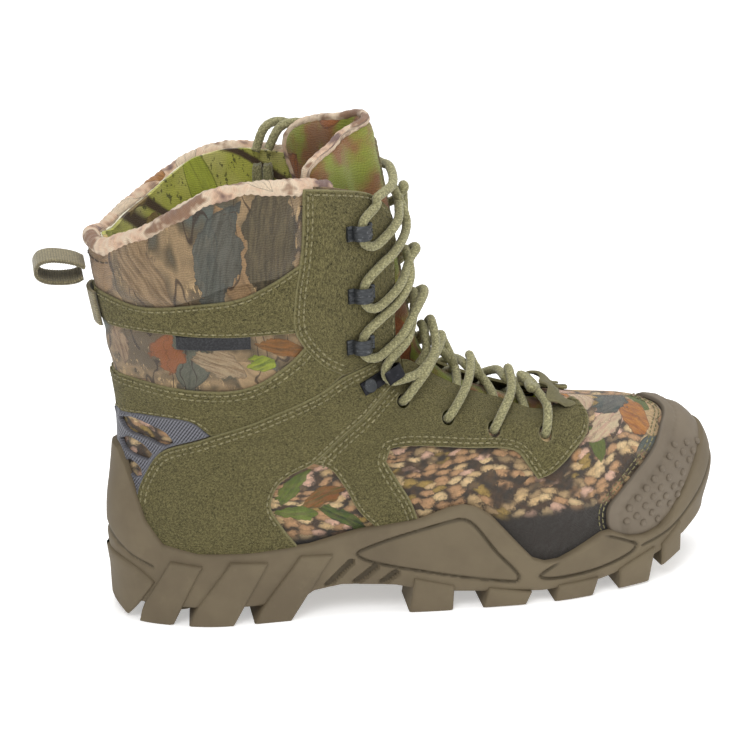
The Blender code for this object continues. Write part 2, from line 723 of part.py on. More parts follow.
def bottom_unit(foam, steel, board, felt):
    """Midsole with the shank in its groove, lasting board and lift-out footbed."""
    x0, x1, half, thick = SHANK
    midsole = slab("midsole", 2.6, lambda x: FLOOR_Z + 0.3, lambda x: MIDSOLE_TOP, foam)
    groove = box("groove_cutter", (x0 - 0.4, -half - 0.4, MIDSOLE_TOP - thick - 0.4),
                 (x1 + 0.4, half + 0.4, MIDSOLE_TOP + 3), None)
    groove.hide_render = True
    groove.display_type = "WIRE"
    cut = midsole.modifiers.new("shank_groove", "BOOLEAN")
    cut.operation = "DIFFERENCE"
    cut.object = groove
    box("shank", (x0, -half, MIDSOLE_TOP - thick), (x1, half, MIDSOLE_TOP), steel)
    top = FEATHER_DROP
    slab("lasting_board", 2.0, lambda x: feather_z(x) - top - BOARD_THICKNESS,
         lambda x: feather_z(x) - top, board)
    hinge = place((FOOTBED_TOE, TOE_SWING, feather_z(FOOTBED_TOE) - top + 0.4))
    slab("footbed", -8.6, lambda x: feather_z(x) - top + 0.4,
         lambda x: feather_z(x) - top + 0.4 + FOOTBED_THICKNESS, felt, hinge)


# ---- hardware --------------------------------------------------------------------

def local_frame(x, z, side, off):
    """An origin on the boot's side and its forward, upward and outward directions."""
    origin = side_point(x, z, side, off)
    out = outward(*on_last(x, z, side))
    forward = np.array([1.0, 0, 0])
    forward = forward - out * np.dot(forward, out)
    forward /= np.linalg.norm(forward)
    up = np.cross(forward, out) * (1 if side < 0 else -1)
    if up[2] < 0:
        up = -up
    return origin, forward, up, out


def swept_strip(name, frame, path, thickness, half_height, material, hinge=None):
    """A strip folded along a path of (forward, outward) points, of even thickness."""
    origin, forward, up, out = frame
    bm = bmesh.new()
    path = [np.array(p, float) for p in path]
    sides = []
    for sign in (-1, 1):
        ring = []
        for k, p in enumerate(path):
            a = path[max(k - 1, 0)]
            b = path[min(k + 1, len(path) - 1)]
            d = (b - a) / np.linalg.norm(b - a)
            ring.append(p + np.array([-d[1], d[0]]) * sign * thickness / 2)
        sides.append(ring)
    loop = sides[0] + sides[1][::-1]
    ends = []
    for height in (-half_height, half_height):
        ends.append([bm.verts.new(place(origin + forward * q[0] + out * q[1] + up * height))
                     for q in loop])
    n = len(loop)
    half = len(path)
    for k in range(n):
        bm.faces.new([ends[0][k], ends[0][(k + 1) % n], ends[1][(k + 1) % n], ends[1][k]])
    for k in range(half - 1):
        quad = [k, k + 1, n - 2 - k, n - 1 - k]
        bm.faces.new([ends[1][q] for q in quad])
        bm.faces.new([ends[0][q] for q in reversed(quad)])
    return add(name, bm, material, hinge)


def lace_loop(name, x, z, side, metal):
    """A ribbed arch that the lace runs up through, on two small feet."""
    frame = local_frame(x, z, side, SUEDE[1] + 0.35)
    half = LOOP_WIDTH / 2
    arch = [(-half, LOOP_WALL / 2), (-half + 2.6, LOOP_WALL / 2 + 0.1)]
    for k in range(7):
        a = math.pi - math.pi * k / 6
        arch.append(((half - 2.3) * math.cos(a), 1.4 + (LOOP_RISE - 2.0) * math.sin(a)))
    arch += [(half - 2.6, LOOP_WALL / 2 + 0.1), (half, LOOP_WALL / 2)]
    return swept_strip(name, frame, arch, LOOP_WALL, LOOP_HEIGHT / 2, metal)


def lace_hook(name, side, metal):
    """A plate on the suede that folds over at the front into an open lip."""
    origin, forward, up, out = local_frame(*HOOK, side, SUEDE[1] + 0.5)
    along, across = math.cos(HOOK_TILT), math.sin(HOOK_TILT)
    frame = (origin, forward * along + up * across, up * along - forward * across, out)
    fold = [(-3.6, 0.6), (4.0, 0.6), (HOOK_REACH, 0.6)]
    for k in range(1, 6):
        a = -math.pi / 2 + math.pi * k / 5.0
        fold.append((HOOK_REACH + 3.4 * math.cos(a), 4.0 + 3.4 * math.sin(a)))
    fold += [(9.0, 7.5), (6.6, 8.1)]
    return swept_strip(name, frame, fold, 1.1, 3.0, metal)


def rivet(name, side, metal):
    """The round rivet head that holds the hook's plate."""
    origin, forward, up, out = local_frame(*HOOK, side, SUEDE[1] + 0.5 + 1.5)
    bm = bmesh.new()
    rings = []
    for radius, rise in ((3.3, 0.0), (3.3, 0.9), (2.2, 1.5)):
        rings.append([bm.verts.new(place(origin + out * rise + radius * (
            forward * math.cos(a) + up * math.sin(a))))
            for a in (2 * math.pi * k / 12 for k in range(12))])
    for low, high in zip(rings, rings[1:]):
        for k in range(12):
            n = (k + 1) % 12
            bm.faces.new([low[k], low[n], high[n], high[k]])
    bm.faces.new(reversed(rings[0]))
    bm.faces.new(rings[-1])
    return add(name, bm, metal)


def hardware(metal, black):
    """Three lace loops, a hook and its rivet on each side."""
    for side, word in ((-1, "lateral"), (1, "medial")):
        for k, (x, z) in enumerate(LACE_LOOPS):
            lace_loop(f"lace_loop_{word}_{k + 1}", x, z, side, metal)
        lace_hook(f"lace_hook_{word}", side, black)
        rivet(f"hook_rivet_{word}", side, metal)


# ---- the lace --------------------------------------------------------------------
# The lace goes in through each punched hole from outside, comes out from under the
# stay's edge further down, and crosses over the tongue to the next hole, hook or loop
# of the other side. Stops are side-view x, z and a distance off the last.

OVER_STAY = SUEDE[1] + LACE_DIAMETER / 2 + TUBE_CLEARANCE + 0.2
UNDER_STAY = -2.4
# Where the lace comes out from under the stay's edge, and the way it then goes.
EMERGES = [((205, 89.4), (0.35, 0.94)), ((190, 95.9), (0.40, 0.92)),
           ((171, 103.6), (0.50, 0.87)), ((152, 116.2), (0.61, 0.79))]
RIDGES = [98, 107, 121, 131, 149, 171, 202]
RIDGE_UNDER, RIDGE_OVER = 3.6, 8.6
HOOK_TILT = math.radians(24)
HOOK_REACH = 13.5  # from the rivet to the hook's fold


def height_on_ridge(z):
    """The t at which the front centreline has this height."""
    fine = np.linspace(0.35, 1.1, 200)
    return float(np.interp(z, [profile(t)[3] for t in fine], fine))


def ridge_stops(z, arriving):
    """Two stops across the front centreline: the strand that arrives on the outer side
    lies over the other one."""
    rise = RIDGE_OVER if arriving < 0 else RIDGE_UNDER
    t = height_on_ridge(z)
    return [at(t, math.pi + 0.05 * arriving, rise), at(t, math.pi - 0.05 * arriving, rise)]


def under_edge(spot, way):
    """Stops from behind a stay's edge out past it."""
    steps = ((-5.0, UNDER_STAY), (1.8, -2.4), (6.8, 0.7))
    return [(spot[0] + way[0] * s, spot[1] + way[1] * s, off) for s, off in steps]


def into_hole(x, z):
    """Stops down onto a stay and in through its hole."""
    return [(x + 10.8, z + 9.9, OVER_STAY + 1.3), (x + 2.8, z + 2.6, OVER_STAY + 0.2),
            (x + 0.4, z + 0.4, 3.4), (x, z, 1.5), (x + 0.2, z, -0.9),
            (x + 2.4, z + 1.0, UNDER_STAY)]


def up_through(x, z):
    """Stops in over the stay's edge, up through a lace loop and out again."""
    off = OVER_STAY + 0.2
    beside = [(146, z + 8.0, 5.6), (138.8, z - 0.5, 5.5), (131.5, z - 5.6, 5.3),
              (125.5, z - 8.0, off), (x + 0.9, z - 5.2, off), (x, z, off)]
    return beside + [(x + 0.9, z + 5.2, off), (128, z + 11.5, off + 0.2),
                     (136.5, z + 16.5, 6.0), (143.5, z + 25, 6.2)]


def round_hook(x, z):
    """Stops round the fold of the tilted hook, from below to above."""
    along, across = math.cos(HOOK_TILT), math.sin(HOOK_TILT)
    stops = [(156, 121, 6.6), (147.5, 114.4, 6.1)]
    for reach, rise, off in ((HOOK_REACH, -6.8, 6.7), (8.6, -4.0, 6.8), (7.2, 0, 6.8),
                             (8.6, 4.0, 6.8), (HOOK_REACH, 6.8, 6.7)):
        stops.append((x + reach * along - rise * across,
                      z + reach * across + rise * along, off))
    return stops + [(141.5, 132.5, 5.9)]


def strand(side):
    """One half of the lace, from the hole under the throat tab up to the top loop.
    It changes sides at every level; the last side is returned too."""
    goals = [into_hole(*hole) for hole in reversed(LACE_HOLES[:3])]
    goals += [round_hook(*HOOK)] + [up_through(*loop) for loop in reversed(LACE_LOOPS)]
    x, z = LACE_HOLES[3]
    stops = [(x + 2.6, z + 7.5, OVER_STAY + 0.8), (x + 0.6, z + 2.0, OVER_STAY - 0.4),
             (x, z, 2.0), (x, z, -0.9), (x - 2.2, z + 1.6, UNDER_STAY)]
    stops = [side_point(*stop[:2], side, stop[2]) for stop in stops]
    for level, goal in enumerate(goals):
        if level < len(EMERGES):
            stops += [side_point(*stop[:2], side, stop[2])
                      for stop in under_edge(*EMERGES[level])]
        side = -side
        stops += ridge_stops(RIDGES[level], side)
        stops += [side_point(*stop[:2], side, stop[2]) for stop in goal]
    return stops, side


def lace(cord):
    """The whole lace as one tube. Its two ends go over the inner rim into the shaft,
    where they are folded into a small hank."""
    t = height_on_ridge(93)
    bar = [at(t, math.pi + d, off) for d, off in
           ((-0.34, 5.8), (-0.16, 3.6), (0.0, 2.2), (0.16, 3.6), (0.34, 5.8))]
    to_inner, _ = strand(-1)
    to_outer, _ = strand(1)
    inner_end = [(115, 214, 5.8), (106, 223, 5.0), (97, 230.5, 0.4), (90, 230, -8.5),
                 (84.5, 218, -13.6)]
    across = [(136, 212.5, 5.0), (128, 219, 5.2), (117, 227, 2.6), (107, 231, -2.4),
              (98, 230.5, -9.6), (91.5, 219, -13.6)]
    route = [side_point(x, z, 1, off) for x, z, off in reversed(inner_end)]
    route += list(reversed(to_inner[:-2])) + bar + to_outer[:-2]
    route += [side_point(x, z, -1, off) for x, z, off in ((127, 204.5, 5.6), (137, 208, 5.2))]
    route += [at(height_on_ridge(213), math.pi, RIDGE_UNDER)]
    route += [side_point(x, z, 1, off) for x, z, off in across]
    tube("lace", smooth_route(route), LACE_DIAMETER / 2, cord)
    origin, forward, up, out = local_frame(88, 203, 1, -14.0)
    hank("lace_hank", origin, forward, up, out, cord)


def hank(name, origin, forward, up, out, cord):
    """The folded lace ends as one closed block with round ends."""
    bm = bmesh.new()
    outline = []
    for turn, middle in ((0, 7.0), (math.pi, -7.0)):
        for k in range(7):
            a = turn + math.pi * k / 6
            outline.append((6.0 * math.cos(a), middle + 4.0 * math.sin(a)))
    rings = [[bm.verts.new(place(origin + forward * a + up * b + out * depth))
              for a, b in outline] for depth in (-3.4, 3.4)]
    bm.faces.new(rings[0])
    bm.faces.new(rings[1])
    for k in range(len(outline)):
        n = (k + 1) % len(outline)
        bm.faces.new([rings[0][k], rings[0][n], rings[1][n], rings[1][k]])
    add(name, bm, cord)


def smooth_route(stops, longest=16.0, sharpest=math.radians(38)):
    """A smooth curve through the stops, with points closer together where it bends."""
    p = np.array(stops)
    p = np.concatenate([[2 * p[0] - p[1]], p, [2 * p[-1] - p[-2]]])
    fine = []
    for k in range(1, len(p) - 2):
        a, b, c, d = p[k - 1:k + 3]
        ta, tb, tc = (max(np.linalg.norm(v), 1e-6) ** 0.5 for v in (b - a, c - b, d - c))
        m1 = c - b + tb * ((b - a) / ta - (c - a) / (ta + tb))
        m2 = c - b + tb * ((d - c) / tc - (d - b) / (tb + tc))
        for s in np.linspace(0, 1, 16, endpoint=False):
            fine.append((2 * s**3 - 3 * s**2 + 1) * b + (s**3 - 2 * s**2 + s) * m1
                        + (3 * s**2 - 2 * s**3) * c + (s**3 - s**2) * m2)
    fine.append(p[-2])
    kept, run, turned = [fine[0]], 0.0, 0.0
    for k in range(1, len(fine) - 1):
        before, after = fine[k] - fine[k - 1], fine[k + 1] - fine[k]
        run += np.linalg.norm(before)
        cosine = np.dot(before, after) / (np.linalg.norm(before) * np.linalg.norm(after))
        turned += math.acos(min(1.0, cosine))
        if run > longest or (turned > sharpest and run > 1.6):
            kept.append(fine[k])
            run, turned = 0.0, 0.0
    return kept + [fine[-1]]


# ---- the pull loop and the label --------------------------------------------------

def pull_loop(webbing):
    """The webbing loop at the back of the collar and the sewn end below it."""
    side_view = (np.zeros(3), np.array([1.0, 0, 0]), np.array([0, 1.0, 0]),
                 np.array([0, 0, 1.0]))
    sewn = [(-2.9, 150), (-3.7, 155), (-4.4, 160), (-5.0, 165)]
    swept_strip("pull_loop_base", side_view, sewn, WEBBING[1], WEBBING[0] / 2, webbing)
    loop = [(-6.4, 177.6), (-15, 181), (-24, 182.3), (-28.6, 180.6), (-29.6, 176.6),
            (-27, 172.6), (-18, 170.6), (-10.4, 171.2), (-7.6, 172.6)]
    hinge = place((PULL_HINGE[0], 0, PULL_HINGE[1]))
    swept_strip("pull_loop", side_view, loop, WEBBING[1], WEBBING[0] / 2, webbing, hinge)


def side_label(webbing):
    """The small woven label that hangs from the collar band's lower edge."""
    cut_piece("side_label", side_outline([(33, 141.6), (67, 140.8), (67, 145.6),
                                          (33, 146.4)], -1), [], LABEL, webbing, step=12)


# ---- the boot --------------------------------------------------------------------

def main():
    """Clears the scene and builds the boot."""
    for old in list(bpy.data.objects):
        bpy.data.objects.remove(old)
    rubber = finish_material("olive_rubber", (0.155, 0.125, 0.075), 0.62)
    toe_rubber = finish_material("toe_rubber", (0.19, 0.155, 0.12), 0.6)
    suede = finish_material("green_suede", (0.125, 0.125, 0.052), 0.92)
    smooth = finish_material("smooth_suede", (0.15, 0.145, 0.075), 0.8)
    cloth = finish_material("camouflage_cloth", (0.16, 0.115, 0.06), 0.85)
    collar_cloth = finish_material("collar_cloth", (0.24, 0.25, 0.05), 0.85)
    lining = finish_material("insulated_lining", (0.07, 0.07, 0.035), 0.95)
    foam = finish_material("foam", (0.7, 0.68, 0.6), 0.95)
    board = finish_material("fibre_board", (0.3, 0.22, 0.14), 0.9)
    steel = finish_material("spring_steel", (0.5, 0.5, 0.52), 0.35, 1.0)
    metal = finish_material("painted_metal", (0.07, 0.075, 0.085), 0.4, 0.6)
    black = finish_material("black_metal", (0.015, 0.015, 0.02), 0.35, 0.6)
    mesh_cloth = finish_material("heel_mesh", (0.06, 0.06, 0.07), 0.8)
    cord = finish_material("lace_cord", (0.13, 0.125, 0.07), 0.9)

    outsole(rubber)
    bottom_unit(foam, steel, board, lining)
    fabric_panels(cloth)
    inner_layers(lining, foam, board)
    suede_pieces(suede, smooth)
    heel_and_toe(mesh_cloth, toe_rubber)
    collar_piping(collar_cloth)
    tongue_pieces(collar_cloth, cord)
    hardware(metal, black)
    lace(cord)
    pull_loop(cord)
    side_label(mesh_cloth)


main()
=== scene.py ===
"""Looks of the insulated hunting boot: cloth, suede, rubber, cords and hardware.

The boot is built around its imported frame. Design lengths are in millimetres, measured
forward from the heel, up from the ground and across from the boot's middle, and place()
turns them into the frame's metres. Every layer of the upper is the last's surface moved
out along its normal: a point of the last is named by t, its height from the feather edge
(0) to the shaft's top (1), and phi, its place round the boot, 0 at the heel, pi at the
toe, negative on the outer side.
"""

import logging
import math
from dataclasses import dataclass
from enum import Enum
from typing import Callable, Iterable, Optional, Sequence, Union

import bpy
import numpy as np
from mathutils import Matrix, Vector
from mathutils.geometry import delaunay_2d_cdt


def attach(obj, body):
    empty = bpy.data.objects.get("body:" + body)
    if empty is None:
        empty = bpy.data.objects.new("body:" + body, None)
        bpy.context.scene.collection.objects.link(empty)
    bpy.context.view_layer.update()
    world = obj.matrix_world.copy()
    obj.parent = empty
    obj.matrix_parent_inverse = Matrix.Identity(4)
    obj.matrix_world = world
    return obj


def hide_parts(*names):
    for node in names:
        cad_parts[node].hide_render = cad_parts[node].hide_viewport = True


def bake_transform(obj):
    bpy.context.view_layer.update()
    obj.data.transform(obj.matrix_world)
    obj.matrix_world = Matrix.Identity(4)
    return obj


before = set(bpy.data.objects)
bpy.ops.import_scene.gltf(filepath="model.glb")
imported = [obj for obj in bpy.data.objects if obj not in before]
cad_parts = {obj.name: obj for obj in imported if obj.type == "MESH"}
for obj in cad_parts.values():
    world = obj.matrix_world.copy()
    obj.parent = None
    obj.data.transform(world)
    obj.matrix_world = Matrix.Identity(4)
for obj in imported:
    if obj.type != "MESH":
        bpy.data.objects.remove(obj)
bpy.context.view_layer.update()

MM = 0.001
NO_EDGE = 9.0  # mm from the edge, given to pieces whose finish has no paler cut edge and no painted edge shade
ORIGIN = np.array([137.78, 3.32, 0.0])
BOOT = "boot"
OUTER, INNER = -1, 1
WORDS = {OUTER: "lateral", INNER: "medial"}
LOG = logging.getLogger("boot")

Array = np.ndarray
Points = Sequence[tuple[float, float]]
Offset = Union[float, Callable[[Array, Array, Array], Array]]


def place(points: Array) -> Array:
    """Design millimetres as the frame's metres."""
    return (np.asarray(points, float) - ORIGIN) * MM


def ease(x: Array) -> Array:
    """0 to 1 with soft ends."""
    x = np.clip(x, 0.0, 1.0)
    return x * x * (3 - 2 * x)


def bell(x: Array, width: float) -> Array:
    """A soft hump, 1 at zero and gone past a couple of widths."""
    return np.exp(-(np.asarray(x) / width) ** 2)


def ripple(x: Array, y: Array, seed: float) -> Array:
    """Smooth unevenness between about -1 and 1, the same each run.

    Args:
        x: First coordinate, in mm.
        y: Second coordinate, in mm.
        seed: Shifts the pattern.

    Returns:
        The unevenness at each place.
    """
    a = np.sin(x * 0.21 + 1.7 * np.sin(y * 0.13 + seed) + seed * 2.1)
    b = np.sin(y * 0.27 + 1.3 * np.sin(x * 0.17 - seed) + seed * 0.7)
    return 0.5 * (a + b)


# ---- the last ----------------------------------------------------------------------

class Last:
    """The boot-shaped surface that every layer of the upper follows."""

    PROFILE = np.array([
        (0.0, 4, 24, 296, 30), (0.1, 2, 40, 301, 52), (0.2, 2, 56, 292, 72),
        (0.3, 4, 72, 268, 84), (0.4, 6, 90, 232, 89), (0.5, 6, 106, 200, 97),
        (0.6, 5, 120, 170, 111), (0.7, 4, 134, 154, 130), (0.8, 1, 150, 149, 152),
        (0.9, -3, 180, 144, 185), (1.0, -3, 215, 138, 222)])
    SHARES = np.array([0, 0.06, 0.16, 0.35, 0.55, 0.72, 0.86, 0.95, 1.0])
    HEIGHTS = np.array([0, 0.2, 0.3, 0.4, 0.6, 0.8, 1.0])
    HALF_WIDTHS = np.array([
        (0, 24, 34, 35, 43, 49, 43, 28, 0), (0, 24, 35, 38, 44, 44, 36, 23, 0),
        (0, 22, 34, 39, 41, 35, 24.5, 14.5, 0), (0, 20, 33, 38.5, 39, 32, 22, 13, 0),
        (0, 18, 30.5, 38, 38.5, 32, 23, 14, 0), (0, 19, 31, 40.5, 42, 37, 28, 17, 0),
        (0, 21, 33.5, 44, 46, 41, 31, 18.5, 0)], float)
    MEDIAL = np.array([1, 1, 1, 0.9, 0.87, 0.97, 1.04, 1.0, 1])
    TOE_SWING = 8.0
    RIM = np.array([
        (-3, 191), (3, 189), (11, 194), (22, 199), (33, 206), (44, 212), (51, 216),
        (66, 219), (77, 219), (95, 217), (106, 215), (126, 208), (135, 200), (139, 193)],
        float)

    def __init__(self) -> None:
        """Reads the rim's height at each place round the boot, and the girths."""
        t, phi = self.locate(self.RIM[:, 0], self.RIM[:, 1])
        self.rim_phi, self.rim_t = np.abs(phi), t
        self.girth_phi = np.linspace(-math.pi, math.pi, 181)
        self.girth_t = np.linspace(0, 1.2, 25)
        rows = [self.point(np.full(181, k), self.girth_phi) for k in self.girth_t]
        steps = [np.linalg.norm(np.diff(row, axis=0), axis=1) for row in rows]
        around = [np.concatenate([[0], np.cumsum(step)]) for step in steps]
        self.girth = np.array([a - a[90] for a in around])

    @staticmethod
    def _cubic(xs: Array, ys: Array, x: Array) -> Array:
        """A smooth curve through the rows of ys at xs.

        Args:
            xs: Where the rows stand.
            ys: The rows.
            x: Where to read.

        Returns:
            One row for each x.
        """
        x = np.clip(x, xs[0], xs[-1])
        i = np.clip(np.searchsorted(xs, x) - 1, 0, len(xs) - 2)
        h = np.diff(xs)
        slope = np.diff(ys, axis=0) / h[:, None]
        tangent = np.concatenate([slope[:1], (slope[1:] + slope[:-1]) / 2, slope[-1:]])
        s, h = ((x - xs[i]) / h[i])[:, None], h[i][:, None]
        return ((2 * s**3 - 3 * s**2 + 1) * ys[i] + (s**3 - 2 * s**2 + s) * h * tangent[i]
                + (3 * s**2 - 2 * s**3) * ys[i + 1] + (s**3 - s**2) * h * tangent[i + 1])

    def _steady(self, rows: Array, x: Array) -> Array:
        """A curve that never overshoots through each row of half widths.

        Args:
            rows: Squared half widths, one row a point.
            x: The share of the way forward of each point.

        Returns:
            The squared half width of each point.
        """
        xs = self.SHARES
        h = np.diff(xs)
        d = np.diff(rows, axis=1) / h
        m = np.zeros_like(rows)
        m[:, 0], m[:, -1] = d[:, 0] * 1.3, d[:, -1] * 1.3
        w1, w2 = 2 * h[1:] + h[:-1], h[1:] + 2 * h[:-1]
        same = d[:, :-1] * d[:, 1:] > 0
        safe = np.where(same, d[:, :-1], 1.0), np.where(same, d[:, 1:], 1.0)
        m[:, 1:-1] = np.where(same, (w1 + w2) / (w1 / safe[0] + w2 / safe[1]), 0)
        i = np.clip(np.searchsorted(xs, x) - 1, 0, len(xs) - 2)
        k = np.arange(len(x))
        s, h = (x - xs[i]) / h[i], h[i]
        return ((2 * s**3 - 3 * s**2 + 1) * rows[k, i] + (s**3 - 2 * s**2 + s) * h * m[k, i]
                + (3 * s**2 - 2 * s**3) * rows[k, i + 1] + (s**3 - s**2) * h * m[k, i + 1])

    def profile(self, t: Array) -> Array:
        """Heel x, z and front x, z at each height t."""
        rows = self._cubic(self.PROFILE[:, 0], self.PROFILE[:, 1:], t)
        beyond = np.maximum(t - 1, 0)[:, None] * 10
        return rows + beyond * (self.PROFILE[-1, 1:] - self.PROFILE[-2, 1:])

    def point(self, t: Array, phi: Array) -> Array:
        """Points of the last, in mm.

        Args:
            t: Heights.
            phi: Places round the boot.

        Returns:
            One x, y, z row for each.
        """
        t, phi = np.broadcast_arrays(np.asarray(t, float), np.asarray(phi, float))
        t, phi = t.ravel(), (phi.ravel() + math.pi) % (2 * math.pi) - math.pi
        share = (1 - np.cos(phi)) / 2
        inner = (phi >= 0)[:, None]
        rows = self.profile(t)
        widths = self._cubic(self.HEIGHTS, self.HALF_WIDTHS, t)
        low = np.maximum(0.0, 1 - t / 0.6)[:, None]
        widths = np.where(inner, widths * (1 + (self.MEDIAL - 1) * low), widths)
        half = np.sqrt(np.maximum(self._steady(widths**2, share), 0))
        swing = self.TOE_SWING * ease((share - 0.45) / 0.55) * np.maximum(0, 1 - t / 0.5)
        x = rows[:, 0] + (rows[:, 2] - rows[:, 0]) * share
        z = rows[:, 1] + (rows[:, 3] - rows[:, 1]) * share
        z = z + np.minimum(t, 0) * 190
        return np.stack([x, swing + np.where(phi >= 0, 1, -1) * half, z], axis=1)

    def normal(self, t: Array, phi: Array) -> Array:
        """The outward normals at places of the last."""
        t, phi = np.broadcast_arrays(np.maximum(t, 0.0), np.asarray(phi, float))
        along = self.point(t + 0.01, phi) - self.point(np.maximum(t - 0.01, 0), phi)
        round_ = self.point(t, phi + 0.03) - self.point(t, phi - 0.03)
        n = np.cross(along, round_)
        return n / np.linalg.norm(n, axis=1, keepdims=True)

    def at(self, t: Array, phi: Array, off: Array = 0.0) -> Array:
        """Points off the last by a distance along its normals."""
        off = np.broadcast_to(off, np.broadcast(t, phi).shape).ravel()
        return self.point(t, phi) + off[:, None] * self.normal(t, phi)

    def locate(self, x: Array, z: Array, side: int = OUTER) -> tuple[Array, Array]:
        """The places of side-view points.

        Args:
            x: Distances forward from the heel.
            z: Heights above the ground.
            side: OUTER or INNER.

        Returns:
            t and phi of each.
        """
        x, z = np.atleast_1d(np.asarray(x, float)), np.atleast_1d(np.asarray(z, float))
        low, high = np.zeros(len(x)), np.full(len(x), 1.2)
        for _ in range(30):
            t = (low + high) / 2
            bx, bz, fx, fz = self.profile(t).T
            under = (x - bx) * (fz - bz) - (z - bz) * (fx - bx) < 0
            low, high = np.where(under, t, low), np.where(under, high, t)
        bx, _, fx, _ = self.profile(t).T
        return t, side * np.arccos(1 - 2 * np.clip((x - bx) / (fx - bx), 0, 1))

    def shift(self, t: Array, phi: Array, move: Array) -> tuple[Array, Array]:
        """Places moved along the surface by small 3D steps.

        Args:
            t: Heights.
            phi: Places round the boot.
            move: One 3D step in mm for each.

        Returns:
            The new t and phi.
        """
        a = (self.point(t + 0.005, phi) - self.point(np.maximum(t - 0.005, 0), phi)) / 0.01
        b = (self.point(t, phi + 0.02) - self.point(t, phi - 0.02)) / 0.04
        aa, ab, bb = (a * a).sum(1), (a * b).sum(1), (b * b).sum(1)
        am, bm = (a * move).sum(1), (b * move).sum(1)
        det = np.maximum(aa * bb - ab * ab, 1e-6)
        return t + (am * bb - bm * ab) / det, phi + (bm * aa - am * ab) / det

    def rim(self, phi: Array) -> Array:
        """The rim's t at places round the boot."""
        phi = np.abs((np.asarray(phi) + math.pi) % (2 * math.pi) - math.pi)
        return np.interp(phi, self.rim_phi, self.rim_t)

    def flat(self, t: Array, phi: Array) -> Array:
        """Where a place lies on the unrolled upper: mm round from the heel, mm up."""
        turn = (np.ravel(phi) + math.pi) % (2 * math.pi) - math.pi
        t = np.ravel(t)
        column = np.clip((turn + math.pi) / (2 * math.pi) * 180, 0, 179.999)
        row = np.clip(t / 0.05, 0, 23.999)
        i, j = row.astype(int), column.astype(int)
        a, b = row - i, column - j
        g = self.girth
        u = ((g[i, j] * (1 - b) + g[i, j + 1] * b) * (1 - a)
             + (g[i + 1, j] * (1 - b) + g[i + 1, j + 1] * b) * a)
        return np.stack([u, t * 190], axis=1)


LAST = Last()


# ---- curves and outlines -----------------------------------------------------------

def curve_through(points: Array, step: float, closed: bool = False,
                  corner: float = 50.0) -> Array:
    """A smooth curve through points, which keeps sharp corners as they are.

    Args:
        points: The points, in two or three dimensions.
        step: About how far apart the result's points lie.
        closed: Whether the curve runs back to its first point.
        corner: The turn in degrees from which a point is a corner.

    Returns:
        The curve's points.
    """
    p = np.asarray(points, float)
    n = len(p)
    before, after = np.roll(p, 1, axis=0), np.roll(p, -1, axis=0)
    a, b = p - before, after - p
    cosine = (a * b).sum(1) / (np.linalg.norm(a, axis=1) * np.linalg.norm(b, axis=1) + 1e-9)
    sharp = np.degrees(np.arccos(np.clip(cosine, -1, 1))) > corner
    if not closed:
        sharp[0] = sharp[-1] = True
    fine = []
    for k in range(n if closed else n - 1):
        b_, c_ = p[k], p[(k + 1) % n]
        a_ = 2 * b_ - c_ if sharp[k] else p[k - 1]
        d_ = 2 * c_ - b_ if sharp[(k + 1) % n] else p[(k + 2) % n]
        ta, tb, tc = (max(np.linalg.norm(v), 1e-6) ** 0.5 for v in (b_ - a_, c_ - b_, d_ - c_))
        m1 = c_ - b_ + tb * ((b_ - a_) / ta - (c_ - a_) / (ta + tb))
        m2 = c_ - b_ + tb * ((d_ - c_) / tc - (d_ - b_) / (tb + tc))
        count = max(1, round(np.linalg.norm(c_ - b_) / step))
        s = (np.arange(count) / count)[:, None]
        fine.append((2 * s**3 - 3 * s**2 + 1) * b_ + (s**3 - 2 * s**2 + s) * m1
                    + (3 * s**2 - 2 * s**3) * c_ + (s**3 - s**2) * m2)
    if not closed:
        fine.append(p[-1:])
    return np.concatenate(fine)


def even(points: Array, step: float) -> Array:
    """A path's points again, at even distances along it."""
    run = np.concatenate([[0], np.cumsum(np.linalg.norm(np.diff(points, axis=0), axis=1))])
    count = max(2, round(run[-1] / step) + 1)
    goal = np.linspace(0, run[-1], count)
    return np.stack([np.interp(goal, run, points[:, k]) for k in range(points.shape[1])], 1)


def inside(points: Array, loop: Array) -> Array:
    """Which points lie inside a closed loop."""
    x, y = points[:, :1], points[:, 1:2]
    (x1, y1), (x2, y2) = loop.T, np.roll(loop, -1, axis=0).T
    crosses = (y1 > y) != (y2 > y)
    with np.errstate(divide="ignore", invalid="ignore"):
        at_x = (x2 - x1) * (y - y1) / (y2 - y1) + x1
    return (crosses & (x < at_x)).sum(1) % 2 == 1


def distance(points: Array, loop: Array, closed: bool = True) -> Array:
    """How far points lie from a loop or a path."""
    a, b = (loop, np.roll(loop, -1, axis=0)) if closed else (loop[:-1], loop[1:])
    best = np.full(len(points), 1e9)
    edge = b - a
    size = np.maximum((edge * edge).sum(1), 1e-12)
    for k in range(len(a)):
        s = np.clip(((points - a[k]) @ edge[k]) / size[k], 0, 1)
        gap = points - a[k] - s[:, None] * edge[k]
        best = np.minimum(best, (gap * gap).sum(1))
    return np.sqrt(best)


def side_loop(points: Points, side: int = OUTER, step: float = 1.6) -> Array:
    """A closed side-view outline as smooth (t, phi) points.

    Args:
        points: The outline's own points, x and z in mm.
        side: OUTER or INNER.
        step: How far apart the result's points lie, in mm.

    Returns:
        One t, phi row for each point.
    """
    fine = curve_through(np.array(points, float), step, closed=True)
    return np.stack(LAST.locate(fine[:, 0], fine[:, 1], side), axis=1)


